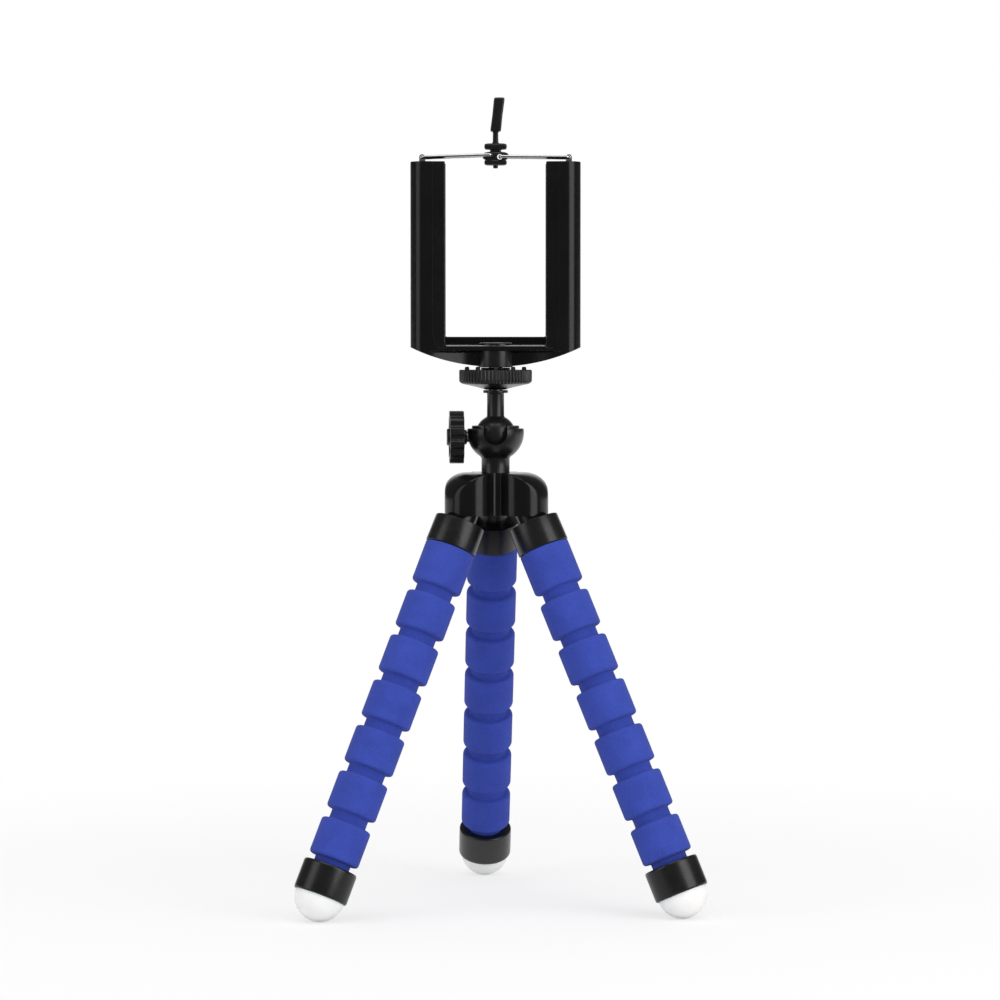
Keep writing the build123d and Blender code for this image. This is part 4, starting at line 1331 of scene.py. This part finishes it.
@dataclass
class BallHead:
    """The ball in its cup, with the knob that clamps it and the disc that locks the clamp."""

    ball_radius: float = 9.2
    seat_gap: float = 0.3
    cup_radius: float = 12.8
    cup_rise: float = 1.2
    rim_rise: float = 3.0
    neck_radius: float = 6.35
    screw_hole: float = 4.55
    screw_depth: float = 1.9
    keeper_radius: float = 10.7
    keeper_gap: float = 0.1
    keeper_drop: float = 1.3
    keeper_rise: float = 1.3
    notch_half_width: float = 5.3
    notch_rise: float = 1.2
    stem_radius: float = 3.83
    flange_radius: float = 5.6
    flange_span: tuple[float, float] = (19.0, 20.3)
    thread_radius: float = 3.2
    knob_azimuth: float = 183.0
    knob_reach: float = 14.4
    knob_radius: float = 12.0
    knob_thickness: float = 6.4
    knob_round: float = 0.35
    flutes: int = 12
    flute_radius: float = 1.5
    disc_radius: float = 16.4
    disc_rim: float = 5.35
    disc_hole: float = 3.25
    hub_rise: float = 0.95
    bulge_start: float = 12.6
    ribs: int = 60
    rib_depth: float = 0.5
    nubs: int = 10
    nub_circle: float = 13.5

    def __post_init__(self) -> None:
        """Read the heights from the frame."""
        self.centre = joint_point("ball_front_tilt")[2]
        self.shell_top = node_range("body_shell")[1][2]
        self.stem_top = node_range("ball_stud")[1][2]
        low, high = node_range("lock_disc")
        self.disc_low, self.disc_high = low[2], high[2]
        self.knob_point = joint_point("clamp_knob_turn")

    def turned(
        self, name: str, profile: Array, segments: int = 96, loop: bool = False
    ) -> Piece:
        """Build a piece that is turned about the head's axis.

        Args:
            name: The piece's name.
            profile: Radii, and heights above the ball's centre.
            segments: Points round the axis.
            loop: Whether the profile's last point joins its first.

        Returns:
            The piece.
        """
        return upright(self.centre).lathe(name, profile, segments, loop).build()

    def notch(self) -> Piece:
        """Build the cutter for the notch: a bar with a half-round lower edge, out to the front.

        Returns:
            The bar, as a closed piece.
        """
        half = self.notch_half_width
        low = arc(half, np.radians(np.linspace(180, 360, 33)))
        outline = np.concatenate([low, [(half, 30.0), (-half, 30.0)]])
        height = self.centre + self.notch_rise + outline[:, 1]
        grid = grid_of(outline[:, 0], np.array([[-3.0], [-30.0]]), height)
        return Shell("notch_cutter").add(grid, caps=True).build()

    def build_cup(self) -> None:
        """Build the cup and its neck, turned, with the notch cut in front."""
        rim, middle = self.rim_rise, self.cup_rise
        inner, outer, neck = self.ball_radius + self.seat_gap, self.cup_radius, self.neck_radius
        keeper_low = rim - self.keeper_drop
        fall = np.linspace(np.arcsin(keeper_low / inner), -np.pi / 2, 24)
        bowl = arc(inner, fall)[::-1]
        start = -np.arccos(neck / outer)
        rise = np.linspace(start + 0.07, np.arcsin((rim - middle) / outer) - 0.02, 40)
        ball = (arc(outer, rise) + [0, middle])[::-1]
        neck_top, foot = middle + outer * np.sin(start), self.shell_top - self.centre
        edge = np.array([
            (self.keeper_radius, keeper_low),
            (self.keeper_radius, rim - 0.15),
            (self.keeper_radius + 0.15, rim),
            (outer - 0.5, rim),
            (outer - 0.2, rim - 0.1),
        ])
        stem = np.array([
            (neck + 0.25, neck_top - 0.05),
            (neck, neck_top - 0.7),
            (neck, foot + 0.5),
            (neck + 0.2, foot + 0.02),
            (self.screw_hole, foot + 0.02),
            (self.screw_hole, foot - self.screw_depth),
            (0.0, foot - self.screw_depth),
        ])
        profile = np.concatenate([bowl, edge, ball, stem])
        cup = carve(self.turned("ball_cup_skin", profile, 128), self.notch())
        place(soften(cup, 0.3), Slot.SATIN, "body", ("ball_cup",))

    def build_keeper(self) -> None:
        """Build the split ring that holds the ball down, turned and cut by the same notch."""
        low = self.rim_rise - self.keeper_drop + 0.05
        high, held = self.rim_rise + self.keeper_rise, self.ball_radius + self.keeper_gap
        rise = np.linspace(np.arcsin(high / held), np.arcsin(low / held), 8)
        inside = arc(held, rise)
        edge = np.array([
            (self.keeper_radius, low), (self.keeper_radius, high - 0.35),
            (self.keeper_radius - 0.1, high - 0.1), (self.keeper_radius - 0.35, high),
        ])
        profile = np.concatenate([inside, edge])
        ring = carve(self.turned("keeper_ring_skin", profile, 128, loop=True), self.notch())
        place(ring, Slot.SATIN, "body", ("keeper_ring",))

    def build_ball(self) -> None:
        """Build the ball, its stem and the flange under the disc, as one turned piece."""
        top = self.stem_top - self.centre
        under, over = self.flange_span
        stem, flange, thread = self.stem_radius, self.flange_radius, self.thread_radius
        swing = np.linspace(-np.pi / 2, np.arccos(stem / self.ball_radius) - 0.04, 48)
        edge = outline_of([
            (stem + 0.05, 8.7, 0.6),
            (stem, 14.0, 0.0),
            (stem, under, 0.5),
            (flange, under, 0.25),
            (flange, over, 0.35),
            (thread, over, 0.1),
            (thread, top - 0.05, 0.1),
            (0.0, top - 0.05, 0.0),
        ])
        profile = np.concatenate([arc(self.ball_radius, swing), edge])
        place(self.turned("ball_stud_skin", profile), Slot.SATIN, "stud", ("ball_stud",))

    def build_knob(self) -> None:
        """Build the fluted knob.

        Its radius dips to a circle's arc at each flute, smoothed round the rim, and the faces
        are drawn in from it.
        """
        azimuth = np.radians(self.knob_azimuth)
        along = np.array([np.cos(azimuth), np.sin(azimuth), 0.0])
        origin = np.array([0, 0, self.knob_point[2]]) + along * self.knob_reach
        segments = self.flutes * 24
        pitch = 2 * np.pi / self.flutes
        turn = np.mod(round_angles(segments) + pitch / 2, pitch) - pitch / 2
        dip = self.flute_radius**2 - (self.knob_radius * np.sin(turn)) ** 2
        fluted = self.knob_radius * np.cos(turn) - np.sqrt(np.clip(dip, 0, None))
        rim = np.where(dip > 0, fluted, self.knob_radius)
        for _ in range(3):
            rim = (np.roll(rim, 1) + 2 * rim + np.roll(rim, -1)) / 4
        thick, bend = self.knob_thickness, self.knob_round
        edge = np.radians(np.linspace(0, 90, 7))
        inset = bend * np.concatenate([1 - np.sin(edge), 1 - np.cos(edge)])
        level = np.concatenate([bend * (1 - np.cos(edge)), thick - bend * (1 - np.sin(edge))])
        back = np.array([(0.0, -1.35), (3.1, -1.35), (3.35, -1.1), (3.35, 0.0), (6.0, 0.0)])
        hub = outline_of([
            (9.2, thick, 0.1), (8.9, thick - 0.5, 0.3), (4.1, thick - 0.5, 0.4),
            (3.7, thick + 1.2, 0.4), (2.6, thick + 1.2, 0.2), (2.5, thick + 0.9, 0.2),
            (0.0, thick + 0.9, 0.0),
        ], 4)
        radius = np.concatenate([
            np.tile(back[:, :1], segments), rim - inset[:, None], np.tile(hub[:, :1], segments)
        ])
        distance = np.concatenate([back[:, 1], level, hub[:, 1]])[:, None]
        spindle = Spindle(origin, along, np.array([0.0, 0.0, 1.0]))
        knob = Shell("clamp_knob_skin")
        knob.add(spindle.turn(radius, np.tile(distance, segments), segments))
        place(knob.build(), Slot.SATIN, "knob", ("clamp_knob",))

    def build_disc(self) -> None:
        """Build the locking disc: a smooth cone below a rim with fine upright ribs.

        The rim's radius follows a raised cosine, once for each rib, which fades to nothing over
        the rounded shoulder.
        """
        segments = self.ribs * 10
        wave = 0.5 - 0.5 * np.cos(round_angles(segments) * self.ribs)
        rib = self.rib_depth * wave**1.5
        low, top, hole = self.disc_low, self.disc_high - self.hub_rise, self.disc_hole
        rim, foot, start = self.disc_radius, top - self.disc_rim, self.bulge_start
        swing = np.radians(np.linspace(-78, 0, 12))
        bulge = np.stack([
            start + (rim - start) * np.cos(swing), foot + 0.6 + 2.0 * np.sin(swing)
        ], axis=1)
        rows = np.concatenate([
            [(hole, low), (4.3, low), (8.0, low + 1.05)],
            bulge,
            [(rim, foot + 2.0), (rim, top - 0.7), (rim - 0.1, top - 0.25), (rim - 0.45, top)],
            [(15.0, top), (11.0, top), (6.7, top), (6.6, top + 0.1), (6.6, top + 0.85)],
            [(6.45, top + self.hub_rise), (hole, top + self.hub_rise)],
        ])
        ribbed = ease((rows[:, 0] - rim + 1.6) / 1.3) * (rows[:, 1] > low + 1.5)
        radius = rows[:, :1] - rib[None] * ribbed[:, None]
        grid = upright().turn(radius, np.tile(rows[:, 1:], segments), segments)
        disc = Shell("lock_disc_skin").add(grid, loop=True)
        place(disc.build(crease=50), Slot.SATIN, "disc", ("lock_disc",))

        nubs = Shell("disc_nubs_skin")
        profile = outline_of([(1.0, -0.3, 0), (1.0, 0.9, 0.35), (0.75, 1.3, 0.35), (0, 1.35, 0)])
        for nub in range(self.nubs):
            turn = (nub + 0.5) * 2 * np.pi / self.nubs
            middle = self.nub_circle * np.array([np.cos(turn), np.sin(turn), 0.0]) + [0, 0, top]
            spindle = Spindle(middle, np.array([0, 0, 1.0]), np.array([1.0, 0, 0]))
            nubs.add(spindle.turn(profile[:, 0], profile[:, 1], 24), caps=True)
        place(nubs.build(), Slot.RUBBER, "disc", ("disc_nubs",))

    def build(self) -> None:
        """Build every piece of the head."""
        self.build_cup()
        self.build_keeper()
        self.build_ball()
        self.build_knob()
        self.build_disc()


@dataclass
class Lever:
    """The flip lever: a flanged hub that takes the wires' hooks, a stem and a leaning paddle."""

    middle_y: float = 5.5
    drop: float = 0.4
    lean: float = 6.6
    paddle_start: float = 11.0
    edge_round: float = 0.9

    def build(self) -> None:
        """Build the lever as rounded rectangles stacked up its height.

        Each row of the table is a height above the hub's middle, half a width and half a depth.
        Above the stem the rows shift sideways with the paddle's lean.
        """
        pivot = joint_point("lever_flip")
        middle = pivot[2] - self.drop
        rows = np.array([
            (-5.6, 0.75, 0.75), (-5.45, 1.05, 1.05), (-4.35, 1.15, 1.15),
            (-4.2, 3.9, 2.6), (-4.05, 4.6, 3.1), (-3.6, 5.0, 3.4), (-3.0, 5.1, 3.48),
            (-2.4, 5.0, 3.4), (-1.95, 4.7, 3.1), (-1.8, 4.6, 3.05), (-1.65, 4.9, 3.1),
            (-1.2, 5.6, 3.2), (-0.5, 5.9, 3.2), (0.3, 5.95, 3.2), (1.0, 5.6, 3.1),
            (1.45, 4.8, 3.0), (1.7, 3.6, 2.8), (1.85, 2.6, 2.5), (2.3, 2.35, 2.5),
            (2.75, 2.6, 2.5), (2.85, 3.6, 2.7), (2.95, 4.5, 3.1), (3.3, 4.95, 3.4),
            (4.2, 5.1, 3.48), (5.1, 4.95, 3.4), (5.4, 4.5, 3.1), (5.55, 3.6, 2.7),
            (5.65, 1.7, 1.9), (6.1, 1.3, 1.75), (10.2, 1.22, 1.7), (10.75, 1.35, 1.9),
            (10.95, 2.0, 2.8), (11.2, 2.3, 3.2), (11.7, 2.42, 3.38), (18.5, 2.3, 3.38),
            (25.2, 2.42, 3.38), (25.8, 2.3, 3.25), (26.1, 2.0, 2.9), (26.2, 1.5, 2.4),
        ])
        shift = np.clip(rows[:, 0] - self.paddle_start, 0, None) * np.tan(np.radians(self.lean))
        ring = np.array([(-1.0, -1.0), (1.0, -1.0), (1.0, 1.0), (-1.0, 1.0)])
        size = rows[:, 1:]
        boxes = ring[None] * size[:, None]
        setback = np.minimum(size.min(axis=1), self.edge_round)
        outline = np.stack([
            rounded(box, np.full(4, reach), steps=6, closed=True)
            for box, reach in zip(boxes, setback)
        ])
        grid = grid_of(
            outline[..., 0] + shift[:, None],
            outline[..., 1] + self.middle_y,
            middle + rows[:, :1],
        )
        lever = Shell("flip_lever").add(grid, caps=True).build(crease=45)
        along, across = np.array([0.0, 1.0, 0.0]), np.array([1.0, 0.0, 0.0])
        ends = np.array([-5.0, 5.0])
        holes = [
            Spindle(np.array([x, self.middle_y, middle + z]), along, across).rod(
                "hook_hole", radius, ends, 32
            )
            for x, z, radius in ((-2.0, 0.4, 0.78), (2.0, -0.4, 1.3))
        ]
        lever = carve(lever, *holes, crease=45)
        place(lever, Slot.SATIN, "lever", ("lever",))


@dataclass(frozen=True)
class Studio:
    """A white floor and background, soft lamps, and a camera where the photograph was taken."""

    distance: float = 1.656
    height: float = 0.2553
    pitch: float = 2.49
    field_of_view: float = 15.5
    axis_shift: float = 0.002
    light_level: float = 0.7
    room_level: float = 0.1
    room_span: tuple[float, float] = (0.78, 0.98)
    floor_room_span: tuple[float, float] = (-0.25, 0.15)
    floor_half_width: float = 6.0
    floor_whiteness: float = 0.6
    fade_span: tuple[float, float] = (0.14, 0.55)

    def build_camera(self) -> None:
        """Place the camera in front of the clamp, a little above the middle of the legs."""
        camera = link("camera", bpy.data.cameras.new("camera"))
        camera.data.sensor_width = 36.0
        camera.data.angle = np.radians(self.field_of_view)
        camera.location = (self.axis_shift, -self.distance, self.height)
        camera.rotation_euler = (np.radians(90 - self.pitch), 0, 0)
        bpy.context.scene.camera = camera

    def build_world(self) -> None:
        """Make the surroundings white to the camera, and a plain soft light on the object.

        Reflections see the white behind the object and a dimmer room on the camera's side.
        """
        world = bpy.data.worlds.new("studio")
        world.use_nodes = True
        bpy.context.scene.world = world
        tree = Tree(world.node_tree)
        background = tree.nodes["Background"]
        background.inputs["Color"].default_value = (1, 1, 1, 1)
        direction = tree.add("TexCoord", {}).outputs["Generated"]
        room = tree.along_y(direction, self.room_span, self.room_level)
        camera, mirrored = tree.rays()
        light = tree.ramp(mirrored, (0, 1), self.light_level, room)
        tree.links.new(tree.ramp(camera, (0, 1), light, 1.0), background.inputs["Strength"])

    def build_floor(self) -> None:
        """Lay a pale floor that fades into the white background away from the object."""
        mesh = bpy.data.meshes.new("floor")
        side = self.floor_half_width
        corners = [(-side, -side, 0), (side, -side, 0), (side, side, 0), (-side, side, 0)]
        mesh.from_pydata(corners, [], [[0, 1, 2, 3]])
        floor = link("floor", mesh)
        graph = Graph("floor")
        graph.set(Base_Color=(0.86, 0.86, 0.86, 1), Roughness=0.9, Specular_IOR_Level=0.1)
        away = graph.add("VectorMath", {0: graph.place}, operation="LENGTH").outputs["Value"]
        fade = graph.ramp(away, self.fade_span, self.floor_whiteness, 1.0, "SMOOTHSTEP")
        camera, mirrored = graph.rays()
        room = graph.along_y(graph.place, self.floor_room_span, self.room_level)
        glow = graph.add("Emission", {"Strength": graph.ramp(camera, (0, 1), room, 1.0)})
        share = graph.math("MAXIMUM", graph.math("MULTIPLY", fade, camera), mirrored)
        shaders = {1: graph.shader.outputs["BSDF"], 2: glow.outputs["Emission"]}
        mix = graph.add("MixShader", {"Fac": share, **shaders})
        surface = graph.nodes["Material Output"].inputs["Surface"]
        graph.links.new(mix.outputs["Shader"], surface)
        mesh.materials.append(graph.material)

    def build_lamp(self, name: str, place_at: tuple, size: tuple, power: float) -> Piece:
        """Hang a soft box that faces the middle of the tripod.

        Args:
            name: The lamp's name.
            place_at: Where it hangs, in metres.
            size: Its width and height, in metres.
            power: Its strength, in watts.

        Returns:
            The lamp.
        """
        lamp = bpy.data.lights.new(name, "AREA")
        lamp.shape, lamp.size, lamp.size_y, lamp.energy = "RECTANGLE", *size, power
        item = link(name, lamp)
        item.location = place_at
        aim = Vector((0, 0, 0.2)) - item.location
        item.rotation_euler = aim.to_track_quat("-Z", "Y").to_euler()
        return item

    def build(self) -> None:
        """Build the studio."""
        bpy.context.scene.view_settings.view_transform = "Standard"
        self.build_camera()
        self.build_world()
        self.build_floor()
        self.build_lamp("left_box", (-1.24, -0.66, 0.6), (0.75, 1.4), 3.6)
        self.build_lamp("right_box", (1.07, -0.9, 0.6), (0.95, 1.4), 9.0)
        self.build_lamp("top_box", (0.0, -0.3, 1.5), (1.2, 0.9), 6.0)
        fill = self.build_lamp("front_fill", (0.0, -1.5, 0.5), (1.2, 1.0), 2.0)
        fill.visible_glossy = False


def finish_nodes() -> None:
    """Give every CAD node that still shows the finish of its slot in the record."""
    slots = {part["node"]: Slot(part["material_slot"]) for part in frame["record"]["subparts"]}
    for name, node in frame["nodes"].items():
        if not node.hide_render:
            paint(node, slots[name])
            LOG.info("%s keeps its CAD shape", name)


def main() -> None:
    """Build every piece in order, then the studio."""
    logging.basicConfig(level=logging.INFO, format="%(name)s: %(message)s")
    for name in ("left", "right", "back"):
        Leg(name).build()
    BodyShell().build()
    BallHead().build()
    ClampFrame().build()
    Wires().build()
    Lever().build()
    finish_nodes()
    Studio().build()


if __name__ == "__main__":
    main()
